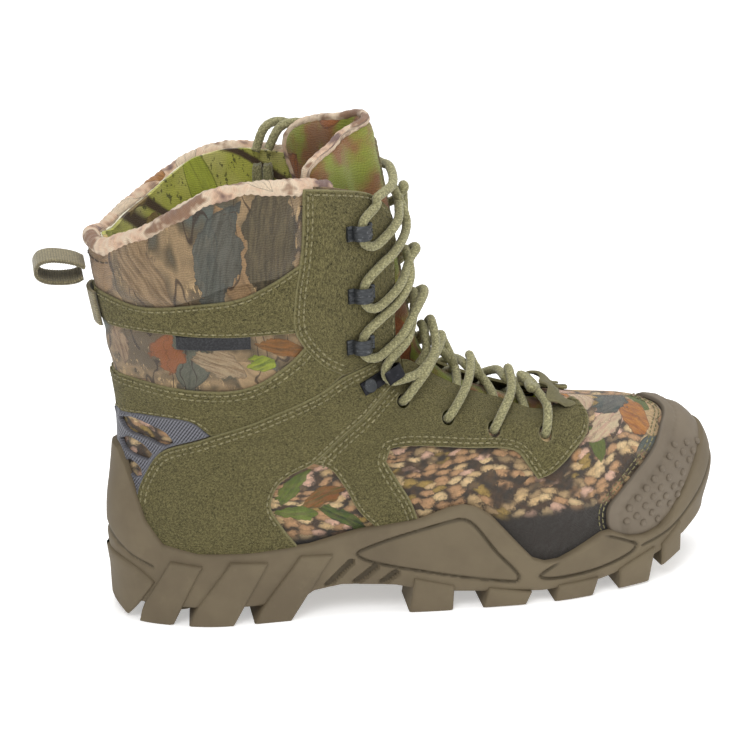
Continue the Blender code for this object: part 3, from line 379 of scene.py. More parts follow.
def wrapped_loop(points: Points, front: bool = False, step: float = 1.6) -> Array:
    """An outline that goes round the heel or the front, from its outer half.

    Args:
        points: The outer half, x and z in mm, from centreline to centreline.
        front: Whether it wraps round the front instead of the heel.
        step: How far apart the result's points lie, in mm.

    Returns:
        One t, phi row for each point.
    """
    fine = curve_through(np.array(points, float), step)
    t, phi = LAST.locate(fine[:, 0], fine[:, 1], OUTER)
    if front:
        phi = phi + 2 * math.pi
        other = 2 * math.pi - phi
    else:
        other = -phi
    return np.concatenate([np.stack([t, phi], 1), np.stack([t, other], 1)[::-1]])


# ---- shaders -------------------------------------------------------------------------

class Socket:
    """One output of a shader node, with arithmetic."""

    def __init__(self, graph: "Graph", link: bpy.types.NodeSocket) -> None:
        """Wraps an output of a node in a graph."""
        self.graph, self.link = graph, link

    def _math(self, operation: str, *values: object) -> "Socket":
        """A Math node on this value and others."""
        return self.graph.node("ShaderNodeMath", {"operation": operation},
                               dict(enumerate(values)))

    def __add__(self, other: object) -> "Socket":
        """The sum."""
        return self._math("ADD", self, other)

    def __radd__(self, other: object) -> "Socket":
        """The sum, from the right."""
        return self._math("ADD", other, self)

    def __sub__(self, other: object) -> "Socket":
        """The difference."""
        return self._math("SUBTRACT", self, other)

    def __rsub__(self, other: object) -> "Socket":
        """The difference, from the right."""
        return self._math("SUBTRACT", other, self)

    def __mul__(self, other: object) -> "Socket":
        """The product."""
        return self._math("MULTIPLY", self, other)

    def __rmul__(self, other: object) -> "Socket":
        """The product, from the right."""
        return self._math("MULTIPLY", other, self)

    def __truediv__(self, other: object) -> "Socket":
        """The quotient."""
        return self._math("DIVIDE", self, other)

    def __rtruediv__(self, other: object) -> "Socket":
        """The quotient, from the right."""
        return self._math("DIVIDE", other, self)

    def __abs__(self) -> "Socket":
        """The size without its sign."""
        return self._math("ABSOLUTE", self)

    def sin(self) -> "Socket":
        """The sine."""
        return self._math("SINE", self)

    def max(self, other: object) -> "Socket":
        """The larger of two values."""
        return self._math("MAXIMUM", self, other)

    def min(self, other: object) -> "Socket":
        """The smaller of two values."""
        return self._math("MINIMUM", self, other)

    def ramp(self, low: float, high: float) -> "Socket":
        """0 below low, 1 above high and a soft step between; high may be the lower one."""
        flipped = high < low
        ends = (high, low, 1.0, 0.0) if flipped else (low, high, 0.0, 1.0)
        return self.graph.node(
            "ShaderNodeMapRange", {"interpolation_type": "SMOOTHSTEP"},
            {"Value": self, "From Min": ends[0], "From Max": ends[1],
             "To Min": ends[2], "To Max": ends[3]})


Value = Union[Socket, float]
Colour = Union[Socket, tuple[float, float, float]]


def rgb(red: int, green: int, blue: int) -> tuple[float, float, float]:
    """A screen colour, 0 to 255, as linear light."""
    def linear(value: int) -> float:
        """One channel as linear light."""
        share = value / 255
        return share / 12.92 if share <= 0.04045 else ((share + 0.055) / 1.055) ** 2.4
    return linear(red), linear(green), linear(blue)


class Graph:
    """A material's node graph, written as expressions."""

    def __init__(self, name: str) -> None:
        """Starts a material with only its Principled shader."""
        self.material = bpy.data.materials.new(name)
        self.material.use_nodes = True
        self.tree = self.material.node_tree
        self.shader = self.tree.nodes["Principled BSDF"]
        self.flat = self.node("ShaderNodeAttribute", {"attribute_name": "flat"}, {},
                              "Vector")
        split = self.split(self.flat)
        self.u, self.v, self.edge = split
        self.solid = self.node("ShaderNodeTexCoord", {}, {}, "Object")

    def node(self, kind: str, settings: dict, inputs: dict, output: object = 0) -> Socket:
        """Adds one node.

        Args:
            kind: The node's type.
            settings: Its own settings, set before its inputs.
            inputs: Values or links by socket name or number.
            output: The name or number of the output to return.

        Returns:
            That output.
        """
        made = self.tree.nodes.new(kind)
        for key, value in settings.items():
            if key == "stops":
                ramp = made.color_ramp
                while len(ramp.elements) < len(value):
                    ramp.elements.new(0.5)
                for element, (spot, colour) in zip(ramp.elements, value):
                    element.position, element.color = spot, (*colour, 1.0)
            else:
                setattr(made, key, value)
        for key, value in inputs.items():
            socket = made.inputs[key]
            if isinstance(value, Socket):
                self.tree.links.new(value.link, socket)
            elif isinstance(value, tuple) and socket.type == "RGBA":
                socket.default_value = (*value, 1.0)
            else:
                socket.default_value = value
        return Socket(self, made.outputs[output])

    def split(self, vector: Socket) -> list[Socket]:
        """A vector's three parts."""
        made = self.node("ShaderNodeSeparateXYZ", {}, {0: vector})
        return [Socket(self, out) for out in made.link.node.outputs]

    def join(self, x: Value, y: Value, z: Value = 0.0) -> Socket:
        """A vector from three parts."""
        return self.node("ShaderNodeCombineXYZ", {}, {0: x, 1: y, 2: z})

    def noise(self, vector: Socket, scale: float, detail: float = 2.0,
              rough: float = 0.5) -> Socket:
        """Noise between about 0.25 and 0.75."""
        return self.node("ShaderNodeTexNoise", {}, {
            "Vector": vector, "Scale": scale, "Detail": detail, "Roughness": rough})

    def mix(self, share: Value, first: Colour, second: Colour) -> Socket:
        """A colour between two."""
        return self.node("ShaderNodeMix", {"data_type": "RGBA"},
                         {0: share, 6: first, 7: second}, 2)

    def scaled(self, colour: Colour, amount: Value) -> Socket:
        """A colour made darker or lighter."""
        grey = self.node("ShaderNodeCombineColor", {}, {0: amount, 1: amount, 2: amount})
        return self.node("ShaderNodeMix", {"data_type": "RGBA", "blend_type": "MULTIPLY"},
                         {0: 1.0, 6: colour, 7: grey}, 2)

    def blotches(self, stops: Sequence[tuple[float, tuple[float, float, float]]],
                 share: Socket, kind: str = "CONSTANT") -> Socket:
        """A colour picked from stops by a value."""
        made = self.node("ShaderNodeValToRGB", {"stops": stops}, {0: share})
        made.link.node.color_ramp.interpolation = kind
        return made

    def finish(self, colour: Colour, rough: Value, bump: Optional[Socket] = None,
               depth: float = 0.0002, **constants: float) -> bpy.types.Material:
        """Feeds the shader.

        Args:
            colour: The base colour.
            rough: The roughness.
            bump: The height that bends the light, between 0 and 1.
            depth: How deep that height is, in metres.
            **constants: Further shader inputs, with _ for a space.

        Returns:
            The material.
        """
        inputs = self.shader.inputs
        for key, value in (("Base Color", colour), ("Roughness", rough)):
            if isinstance(value, Socket):
                self.tree.links.new(value.link, inputs[key])
            elif isinstance(value, tuple):
                inputs[key].default_value = (*value, 1.0)
            else:
                inputs[key].default_value = value
        if bump is not None:
            bent = self.node("ShaderNodeBump", {}, {
                "Height": bump, "Distance": depth, "Strength": 1.0})
            self.tree.links.new(bent.link, inputs["Normal"])
        for key, value in constants.items():
            inputs[key.replace("_", " ")].default_value = value
        return self.material


# ---- finishes ------------------------------------------------------------------------

@dataclass(frozen=True)
class Leaf:
    """One printed leaf: its middle and size on the unrolled cloth, and its colours."""

    u: float
    v: float
    length: float
    width: float
    turn: float
    light: tuple[float, float, float]
    dark: tuple[float, float, float]


class Print(Enum):
    """The printed cloths."""

    BARK = "camouflage_cloth"
    COLLAR = "collar_cloth"
    LIME = "lining_cloth"
    TONGUE = "tongue_cloth"


TAN, SAND, PINK = rgb(190, 160, 116), rgb(214, 194, 156), rgb(200, 162, 138)
RUST, ORANGE, UMBER = rgb(150, 88, 40), rgb(188, 122, 44), rgb(84, 64, 46)
SLATE, MOSS, LIME = rgb(92, 98, 90), rgb(94, 104, 44), rgb(158, 170, 44)
DARK, INK = rgb(60, 53, 44), rgb(38, 32, 28)


def thread_bump(graph: Graph, pitch: float) -> Socket:
    """The relief of a plain weave on the unrolled cloth.

    Args:
        graph: The material.
        pitch: The distance between threads, in mm.

    Returns:
        Its height, 0 to 1.
    """
    turn = math.pi / pitch
    wobble = graph.noise(graph.flat, 0.25, 1.0) * 1.6
    u, v = (graph.u + wobble) * turn, (graph.v + wobble) * turn
    warp = abs(u.sin()) * (0.5 + 0.5 * v.sin() * u.sin())
    weft = abs(v.sin()) * (0.5 - 0.5 * v.sin() * u.sin())
    return warp.max(weft)


def leaf_mask(x: Socket, y: Socket) -> tuple[Socket, Socket, Socket]:
    """A leaf's shape, its veins and its outline.

    Args:
        x: Distance along the leaf, -1 to 1.
        y: Distance across it, -1 to 1.

    Returns:
        The masks of the blade, the veins and the rim.
    """
    bent = y + 0.22 * x * x
    span = 1.0 - x * x
    blade = span - abs(bent)
    rib = abs(bent).ramp(0.07, 0.02)
    side = abs((x * 9.0 - abs(bent) * 5.0).sin()).ramp(0.16, 0.02) * 0.55
    return blade.ramp(0.0, 0.05), rib.max(side), blade.ramp(0.16, 0.05)


def scattered_leaves(graph: Graph, base: Socket, size: float, seed: float,
                     stops: Sequence[tuple[float, tuple[float, float, float]]],
                     share: float = 0.62, slim: float = 0.4) -> Socket:
    """Leaves of many colours strewn over a cloth.

    Args:
        graph: The material.
        base: The colour beneath.
        size: The distance between leaves, in mm.
        seed: Shifts the pattern.
        stops: The colours to pick from.
        share: Which part of the spots has a leaf.
        slim: A leaf's width for its length.

    Returns:
        The colour with the leaves on it.
    """
    warp = graph.noise(graph.flat, 0.05, 2.0) * 9.0
    spots = graph.join((graph.u + warp) / size + seed, (graph.v - warp) / size + 2 * seed)
    cell = graph.node("ShaderNodeTexVoronoi", {"voronoi_dimensions": "2D"},
                      {"Vector": spots, "Scale": 1.0, "Randomness": 0.9}, "Color")
    middle = Socket(graph, cell.link.node.outputs["Position"])
    kind, pick, turn = graph.split(cell)
    offset = graph.node("ShaderNodeVectorMath", {"operation": "SUBTRACT"},
                        {0: spots, 1: middle})
    turned = graph.node("ShaderNodeVectorRotate", {"rotation_type": "Z_AXIS"},
                        {"Vector": offset, "Angle": turn * 9.0})
    x, y, _ = graph.split(turned)
    blade, veins, rim = leaf_mask(x / 0.62, y / (0.62 * slim))
    present = kind.ramp(share, share - 0.02)
    tone = graph.blotches(stops, pick)
    grain = graph.noise(graph.join(x * 3.0, y * 14.0, kind * 9.0), 2.2, 3.0)
    tone = graph.scaled(tone, 0.62 + grain * 0.8)
    tone = graph.mix(veins * 0.4, tone, graph.scaled(tone, 0.4))
    tone = graph.mix(rim * 0.5, tone, INK)
    return graph.mix(blade * present, base, tone)


def placed_leaf(graph: Graph, base: Socket, leaf: Leaf) -> Socket:
    """One leaf laid on the cloth at its own place."""
    offset = graph.node("ShaderNodeVectorMath", {"operation": "SUBTRACT"},
                        {0: graph.flat, 1: (leaf.u, leaf.v, 0.0)})
    turned = graph.node("ShaderNodeVectorRotate", {"rotation_type": "Z_AXIS"},
                        {"Vector": offset, "Angle": math.radians(leaf.turn)})
    x, y, _ = graph.split(turned)
    rough = graph.noise(graph.flat, 0.12, 3.0, 0.6) - 0.5
    blade, veins, rim = leaf_mask(x / leaf.length + rough * 0.9,
                                  y / leaf.width + rough * 1.7)
    grain = graph.noise(graph.join(x * 0.1, y * 0.6), 1.0, 3.0)
    tone = graph.mix(grain.ramp(0.35, 0.65), leaf.light, leaf.dark)
    tone = graph.mix(veins * 0.45, tone, graph.scaled(tone, 0.4))
    tone = graph.mix(rim * 0.4, tone, INK)
    return graph.mix(blade * 0.92, base, tone)


def bark(graph: Graph) -> Socket:
    """Printed bark: rows of tan lumps that lie across, over a dark ground.

    Args:
        graph: The material.

    Returns:
        The colour.
    """
    sway = graph.noise(graph.flat, 0.03, 2.0) * 26.0
    ragged = graph.noise(graph.flat, 0.55, 3.0, 0.6) - 0.5
    spots = graph.join((graph.u + sway * 0.3 + ragged * 5.0) / 7.4,
                       (graph.v + sway + ragged * 3.5) / 4.0)
    cells = graph.node("ShaderNodeTexVoronoi", {"voronoi_dimensions": "2D"},
                       {"Vector": spots, "Scale": 1.0, "Randomness": 0.75}, "Distance")
    tint = Socket(graph, cells.link.node.outputs["Color"])
    pick, _, _ = graph.split(tint)
    patches = graph.noise(graph.flat, 0.04, 3.0, 0.6)
    shown = cells.ramp(0.66, 0.34) * patches.ramp(0.33, 0.43) * pick.ramp(0.04, 0.2)
    light = graph.blotches([(0.0, TAN), (0.3, rgb(172, 134, 96)), (0.6, rgb(200, 172, 128)),
                            (0.75, rgb(150, 124, 66)), (0.88, PINK)], pick)
    light = graph.scaled(light, 0.95 + ragged * 1.4 + 0.4 * cells.ramp(0.5, 0.1))
    ground = graph.mix(graph.noise(graph.flat, 0.3, 3.0).ramp(0.3, 0.7), DARK, UMBER)
    return graph.mix(shown, ground, light)


def cloth_material(kind: Print, leaves: Sequence[Leaf]) -> bpy.types.Material:
    """A printed woven cloth.

    Args:
        kind: Which print.
        leaves: Leaves laid at their own places, over the scattered ones.

    Returns:
        The material.
    """
    graph = Graph(kind.value)
    if kind is Print.BARK:
        high = abs(graph.u).ramp(236, 246) * graph.v.ramp(30, 37)
        colour = bark(graph)
        # Painted shade: the cloth turns dark brown in its lowest 13 to 20 mm above the feather
        # edge, where it meets the sole's top.
        colour = graph.mix(graph.v.ramp(20, 13), colour, rgb(52, 46, 40))
        leafy = scattered_leaves(graph, colour, 24.0, 3.1, [
            (0.0, TAN), (0.22, SLATE), (0.4, PINK), (0.58, ORANGE), (0.74, LIME),
            (0.86, SAND)], 0.9, 0.55)
        leafy = scattered_leaves(graph, leafy, 17.0, 7.7, [
            (0.0, UMBER), (0.3, SAND), (0.6, MOSS), (0.8, TAN)], 0.45, 0.4)
        colour = graph.mix(high, colour, leafy)
    elif kind is Print.COLLAR:
        slow = graph.noise(graph.flat, 0.032, 3.0, 0.55)
        ground = graph.blotches([(0.0, rgb(84, 74, 54)), (0.42, rgb(106, 90, 66)),
                                 (0.5, rgb(160, 134, 98)), (0.56, rgb(96, 82, 58)),
                                 (0.64, SLATE)], slow, "LINEAR")
        flecks = graph.noise(graph.join(graph.u * 1.1, graph.v * 0.5, 40.0), 0.34, 4.0, 0.7)
        patch = graph.noise(graph.flat, 0.05, 2.0).ramp(0.45, 0.55)
        ground = graph.mix(flecks.ramp(0.56, 0.62) * patch, ground, TAN)
        colour = scattered_leaves(graph, ground, 34.0, 1.4, [
            (0.0, rgb(172, 144, 106)), (0.3, rgb(112, 98, 70)), (0.55, rgb(96, 96, 80)),
            (0.75, rgb(150, 120, 84)), (0.9, ORANGE)], 0.5, 0.5)
        lines = abs(graph.noise(graph.join(graph.u * 1.3, graph.v * 0.55, 7.0), 0.05, 2.0)
                    - 0.5)
        colour = graph.mix(lines.ramp(0.014, 0.005) * 0.8, colour, rgb(56, 40, 28))
    elif kind is Print.LIME:
        ground = graph.mix(graph.noise(graph.flat, 0.05, 2.0).ramp(0.35, 0.65),
                           rgb(196, 196, 84), rgb(214, 206, 132))
        specks = graph.noise(graph.flat, 0.42, 3.0, 0.65).ramp(0.57, 0.64)
        ground = graph.mix(specks * 0.8, ground, rgb(64, 66, 26))
        limb = graph.noise(graph.join(graph.u * 0.35 + graph.v * 0.9, graph.v * 0.3), 0.05,
                           2.0)
        limb = abs(limb - 0.5).ramp(0.05, 0.02)
        ground = graph.mix(limb, ground, rgb(82, 62, 38))
        colour = scattered_leaves(graph, ground, 27.0, 2.3, [
            (0.0, rgb(176, 184, 64)), (0.4, rgb(140, 116, 66)), (0.7, rgb(206, 176, 104))],
            0.5, 0.4)
    else:
        ground = graph.mix(graph.noise(graph.flat, 0.06, 3.0).ramp(0.4, 0.6),
                           rgb(140, 148, 52), rgb(142, 96, 56))
        colour = scattered_leaves(graph, ground, 23.0, 4.4, [
            (0.0, LIME), (0.3, RUST), (0.5, rgb(150, 116, 74)), (0.68, rgb(120, 84, 54)),
            (0.84, rgb(140, 156, 52))], 0.6, 0.5)
    for leaf in leaves:
        colour = placed_leaf(graph, colour, leaf)
    weave = thread_bump(graph, 0.62 if kind is not Print.LIME else 0.5)
    fibre = graph.noise(graph.flat, 2.6, 3.0)
    # Painted shade between the threads, following the weave's relief, times a random fibre tone.
    weave_shade_and_fibre_tone = (0.62 + weave * 0.42) * (0.7 + fibre * 0.6)
    return graph.finish(graph.scaled(colour, weave_shade_and_fibre_tone), 0.88, weave * 0.8 + fibre * 0.4,
                        0.00035, Sheen_Weight=0.25, Sheen_Roughness=0.5)


@dataclass(frozen=True)
class Suede:
    """Split leather with a raised nap and paler cut edges."""

    name: str
    colour: tuple[float, float, float]
    edge: tuple[float, float, float]
    nap: float = 1.0

    def material(self) -> bpy.types.Material:
        """The nap is fine noise; stitch lines press a groove beside the edges."""
        graph = Graph(self.name)
        grain = graph.noise(graph.flat, 0.8, 4.0, 0.75)
        fine = graph.noise(graph.flat, 2.0, 3.0, 0.7)
        patch = graph.noise(graph.flat, 0.05, 3.0, 0.55)
        brushed = graph.noise(graph.flat, 0.22, 2.0, 0.5)
        spread = self.nap
        tone = 1.0 + ((grain - 0.5) * 3.6 + (fine - 0.5) * 2.6) * spread
        tone = tone * (0.86 + 0.28 * patch + 0.14 * (brushed - 0.5))
        colour = graph.scaled(self.colour, tone)
        colour = graph.mix(fine.ramp(0.56, 0.68) * 0.6 * spread, colour, self.edge)
        rim = graph.edge.ramp(1.0 if spread > 0.6 else 0.6, 0.1)
        colour = graph.mix(rim * 0.75, colour, graph.scaled(self.edge, 0.6 + grain * 0.8))
        return graph.finish(colour, 0.95, grain * spread + fine * 0.6 * spread, 0.0005,
                            Specular_IOR_Level=0.2, Sheen_Weight=0.08)


@dataclass(frozen=True)
class Rubber:
    """Moulded rubber, a little dusty, with a faint mould grain."""

    name: str
    colour: tuple[float, float, float]
    worn: tuple[float, float, float]
    rough: float = 0.62

    def material(self) -> bpy.types.Material:
        """Broad patches of dust over the even colour of rubber, and painted shade where the edge
        value is small.
        """
        graph = Graph(self.name)
        dust = graph.noise(graph.solid, 22.0, 4.0, 0.6)
        fine = graph.noise(graph.solid, 1600.0, 2.0)
        scuffs = graph.noise(graph.solid, 95.0, 5.0, 0.7).ramp(0.58, 0.72)
        colour = graph.mix(dust.ramp(0.35, 0.7), self.colour, self.worn)
        colour = graph.mix(scuffs * 0.25, colour, graph.scaled(self.worn, 1.18))
        # Painted shade: darker where the edge value is small, in the sole's sunk panels, slots
        # and grooves, along the toe cap's rim and round the foot of its bumps.
        colour = graph.mix(graph.edge.ramp(0.9, 0.2) * 0.55, colour,
                           graph.scaled(self.colour, 0.42))
        return graph.finish(colour, self.rough + dust * 0.16, fine, 0.00006,
                            Specular_IOR_Level=0.42)


@dataclass(frozen=True)
class Cord:
    """Twisted or ribbed yarn: laces, webbing and sewing thread."""

    name: str
    colour: tuple[float, float, float]
    fleck: tuple[float, float, float]
    scale: float = 1100.0

    def material(self) -> bpy.types.Material:
        """The yarn's own relief is in the mesh; this gives its fibres, and paints shade where
        the relief is low.
        """
        graph = Graph(self.name)
        fibre = graph.noise(graph.solid, self.scale, 3.0, 0.6)
        slow = graph.noise(graph.solid, self.scale / 9, 2.0)
        # Painted shade: darker where the relief is low, between yarns and ribs, and at a label's
        # outline.
        painted_valley_shade = graph.edge.ramp(0.0, 0.55)
        colour = graph.mix(fibre.ramp(0.4, 0.7), self.colour, self.fleck)
        colour = graph.scaled(colour, (0.45 + 0.62 * painted_valley_shade) * (0.8 + 0.4 * slow))
        return graph.finish(colour, 0.86, fibre, 0.00012, Sheen_Weight=0.2,
                            Sheen_Roughness=0.5)


@dataclass(frozen=True)
class Metal:
    """Painted or blackened metal, worn a little at its raised places."""

    name: str
    colour: tuple[float, float, float]
    worn: tuple[float, float, float]
    rough: float = 0.34

    def material(self) -> bpy.types.Material:
        """A semi-gloss coat with fine wear."""
        graph = Graph(self.name)
        marks = graph.noise(graph.solid, 420.0, 4.0, 0.65)
        colour = graph.mix(marks.ramp(0.56, 0.7), self.colour, self.worn)
        return graph.finish(colour, self.rough + marks * 0.2, marks, 0.00003, Metallic=0.75)


def ribbed_mesh_material() -> bpy.types.Material:
    """The heel cap's dark mesh, with slanting ribs and small holes."""
    graph = Graph("ribbed_mesh")
    slant, rise = graph.u * 0.86 + graph.v * 0.5, graph.v * 0.86 - graph.u * 0.5
    rib = abs((slant * (math.pi / 1.35)).sin())
    knot = abs((rise * (math.pi / 1.9)).sin())
    cloth = rib * 0.75 + knot * 0.25
    edge = graph.edge.ramp(1.3, 0.7)
    # Painted shade and highlight: the colour follows the rib height, dark in the valleys and
    # light on the crests.
    colour = graph.mix(cloth.ramp(0.35, 0.9), rgb(46, 46, 50), rgb(112, 112, 120))
    colour = graph.mix(edge * 0.7, colour, rgb(98, 98, 104))
    return graph.finish(colour, 0.6, cloth, 0.0005, Sheen_Weight=0.1)


def plain_material(name: str, colour: tuple[float, float, float], rough: float,
                   metallic: float = 0.0, scale: float = 500.0) -> bpy.types.Material:
    """A finish for what lies inside the boot.

    Args:
        name: The material's name.
        colour: Its colour.
        rough: Its roughness.
        metallic: 1 for bare metal.
        scale: How fine its grain is.

    Returns:
        The material.
    """
    graph = Graph(name)
    grain = graph.noise(graph.solid, scale, 3.0, 0.6)
    return graph.finish(graph.scaled(colour, 0.75 + grain * 0.5), rough, grain, 0.0001,
                        Metallic=metallic)


class Wardrobe:
    """Every finish of the boot, made once."""

    def __init__(self, leaves: dict[Print, Sequence[Leaf]]) -> None:
        """Makes the materials; leaves holds the placed leaves of each cloth."""
        self.cloths = {kind: cloth_material(kind, leaves.get(kind, ())) for kind in Print}
        self.suede = Suede("green_suede", rgb(92, 86, 55), rgb(134, 128, 92)).material()
        self.smooth = Suede("smooth_suede", rgb(104, 99, 72), rgb(124, 118, 88),
                            0.3).material()
        self.sole = Rubber("sole_rubber", rgb(97, 85, 65), rgb(110, 98, 76)).material()
        self.toe = Rubber("toe_rubber", rgb(106, 95, 80), rgb(118, 107, 91),
                          0.55).material()
        self.lace = Cord("lace_cord", rgb(132, 127, 88), rgb(182, 177, 132)).material()
        self.thread = Cord("sewing_thread", rgb(104, 98, 66), rgb(148, 140, 102)).material()
        self.dark_thread = Cord("dark_thread", rgb(58, 50, 42), rgb(88, 76, 62)).material()
        self.webbing = Cord("webbing", rgb(112, 103, 76), rgb(150, 140, 106)).material()
        self.gun = Metal("painted_metal", rgb(66, 68, 70), rgb(112, 114, 116)).material()
        self.black = Metal("black_metal", rgb(34, 34, 38), rgb(66, 68, 74), 0.28).material()
        self.mesh = ribbed_mesh_material()
        self.label = Cord("label_cloth", rgb(26, 26, 28), rgb(48, 48, 50)).material()
        self.piping = cloth_material_piping()
        self.inner = {
            "midsole": plain_material("foam_board", rgb(222, 218, 204), 0.9),
            "footbed": plain_material("footbed_felt", rgb(70, 68, 64), 0.95, 0.0, 1500.0),
            "shank": plain_material("spring_steel", rgb(150, 150, 154), 0.35, 1.0),
            "lasting_board": plain_material("fibre_board", rgb(150, 118, 84), 0.9),
            "heel_counter": plain_material("fibre_shell", rgb(146, 114, 80), 0.9),
            "toe_puff": plain_material("toe_shell", rgb(146, 114, 80), 0.9),
            "collar_foam": plain_material("soft_foam", rgb(224, 220, 198), 0.95)}


def cloth_material_piping() -> bpy.types.Material:
    """The collar edge's cloth: cream and tan with brown patches."""
    graph = Graph("edge_cloth")
    patch = graph.noise(graph.flat, 0.06, 3.0, 0.6)
    colour = graph.blotches([(0.0, rgb(112, 84, 76)), (0.4, rgb(150, 116, 90)),
                             (0.47, rgb(232, 210, 182)), (0.56, rgb(222, 186, 156)),
                             (0.64, rgb(122, 94, 86))], patch, "LINEAR")
    leafy = scattered_leaves(graph, colour, 22.0, 9.1, [
        (0.0, rgb(226, 204, 176)), (0.5, rgb(168, 118, 66)), (0.8, rgb(112, 88, 82))],
        0.35, 0.4)
    weave = thread_bump(graph, 0.6)
    # Painted shade between the threads: the colour is scaled by the weave's relief.
    return graph.finish(graph.scaled(leafy, 0.66 + weave * 0.5), 0.85, weave, 0.0003,
                        Sheen_Weight=0.25, Sheen_Roughness=0.5)


# ---- meshes --------------------------------------------------------------------------

Faces = list[list[int]]


def make_piece(name: str, points: Array, faces: Iterable[Sequence[int]],
               material: bpy.types.Material, flat: Optional[Array] = None,
               smooth: bool = True) -> bpy.types.Object:
    """Makes one mesh object.

    Args:
        name: The piece's name.
        points: Its points, in design mm.
        faces: Its faces.
        material: Its finish.
        flat: For each point its unrolled place in mm and its distance from an edge.
        smooth: Whether it is shaded smooth.

    Returns:
        The object.
    """
    mesh = bpy.data.meshes.new(name)
    mesh.from_pydata(place(points).tolist(), [], [list(f) for f in faces])
    if flat is None:
        flat = np.column_stack([points[:, 0], points[:, 2], np.full(len(points), NO_EDGE)])
    layer = mesh.attributes.new("flat", "FLOAT_VECTOR", "POINT")
    layer.data.foreach_set("vector", np.asarray(flat, np.float32).ravel())
    mesh.materials.append(material)
    if smooth:
        mesh.shade_smooth()
        mesh.set_sharp_from_angle(angle=math.radians(48))
    made = bpy.data.objects.new(name, mesh)
    bpy.context.scene.collection.objects.link(made)
    return made


def settle(piece: bpy.types.Object, slot: str, nodes: Sequence[str] = (),
           body: Optional[str] = BOOT) -> bpy.types.Object:
    """Parents a piece to its body and hides the frame's nodes that it stands for.

    Args:
        piece: The object.
        slot: The record's material slot; not used.
        nodes: The frame's nodes that it stands for.
        body: The body it moves with, or None to leave it without one.

    Returns:
        The object.
    """
    if body is not None:
        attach(piece, body)
    if nodes:
        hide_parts(*nodes)
    LOG.info("%s: %d faces", piece.name, len(piece.data.polygons))
    return piece


def grid_faces(rows: int, columns: int, around: bool = False,
               keep: Optional[Array] = None) -> Array:
    """The quads of a grid of points.

    Args:
        rows: How many rows of points.
        columns: How many points in each row.
        around: Whether the last column joins the first.
        keep: Which quads stay, if not all.

    Returns:
        Four point numbers for each quad.
    """
    wide = columns if around else columns - 1
    i, j = np.meshgrid(np.arange(rows - 1), np.arange(wide), indexing="ij")
    if keep is not None:
        i, j = i[keep], j[keep]
    n = (j + 1) % columns
    return np.stack([i * columns + j, i * columns + n, (i + 1) * columns + n,
                     (i + 1) * columns + j], axis=-1).reshape(-1, 4)


def shell_faces(faces: Array, count: int) -> Faces:
    """Closes a skin into a shell.

    Args:
        faces: The outer skin's faces, all quads or all triangles.
        count: How many points a skin has; the inner skin's follow the outer's.

    Returns:
        The faces of both skins and of the sides between them.
    """
    edges = np.stack([faces, np.roll(faces, -1, axis=1)], axis=-1).reshape(-1, 2)
    seen = {tuple(e) for e in edges.tolist()}
    rim = [(a, b) for a, b in seen if (b, a) not in seen]
    sides = [[b, a, a + count, b + count] for a, b in rim]
    return faces.tolist() + (faces[:, ::-1] + count).tolist() + sides


def used(points: Array, faces: Faces, flat: Array) -> tuple[Array, Faces, Array]:
    """Drops the points that no face uses."""
    wanted = sorted({k for face in faces for k in face})
    number = {k: n for n, k in enumerate(wanted)}
    return points[wanted], [[number[k] for k in face] for face in faces], flat[wanted]


def layer(name: str, t: Array, phi: Array, faces: Array, low: Array, high: Array,
          material: bpy.types.Material, edge: Optional[Array] = None) -> bpy.types.Object:
    """A closed layer of the upper between two distances from the last.

    Args:
        name: The piece's name.
        t: Its points' heights.
        phi: Its points' places round the boot.
        faces: Its outer faces.
        low: The inner distance from the last.
        high: The outer distance.
        material: Its finish.
        edge: Each point's distance from the outline, in mm.

    Returns:
        The object.
    """
    edge = np.full(len(t), NO_EDGE) if edge is None else edge
    points = np.concatenate([LAST.at(t, phi, high), LAST.at(t, phi, low)])
    flat = np.column_stack([LAST.flat(t, phi), edge])
    flat = np.concatenate([flat, flat])
    return make_piece(name, *_reordered(*used(points, shell_faces(faces, len(t)), flat),
                                        material))


def _reordered(points: Array, faces: Faces, flat: Array,
               material: bpy.types.Material) -> tuple:
    """The arguments of make_piece in their order."""
    return points, faces, material, flat


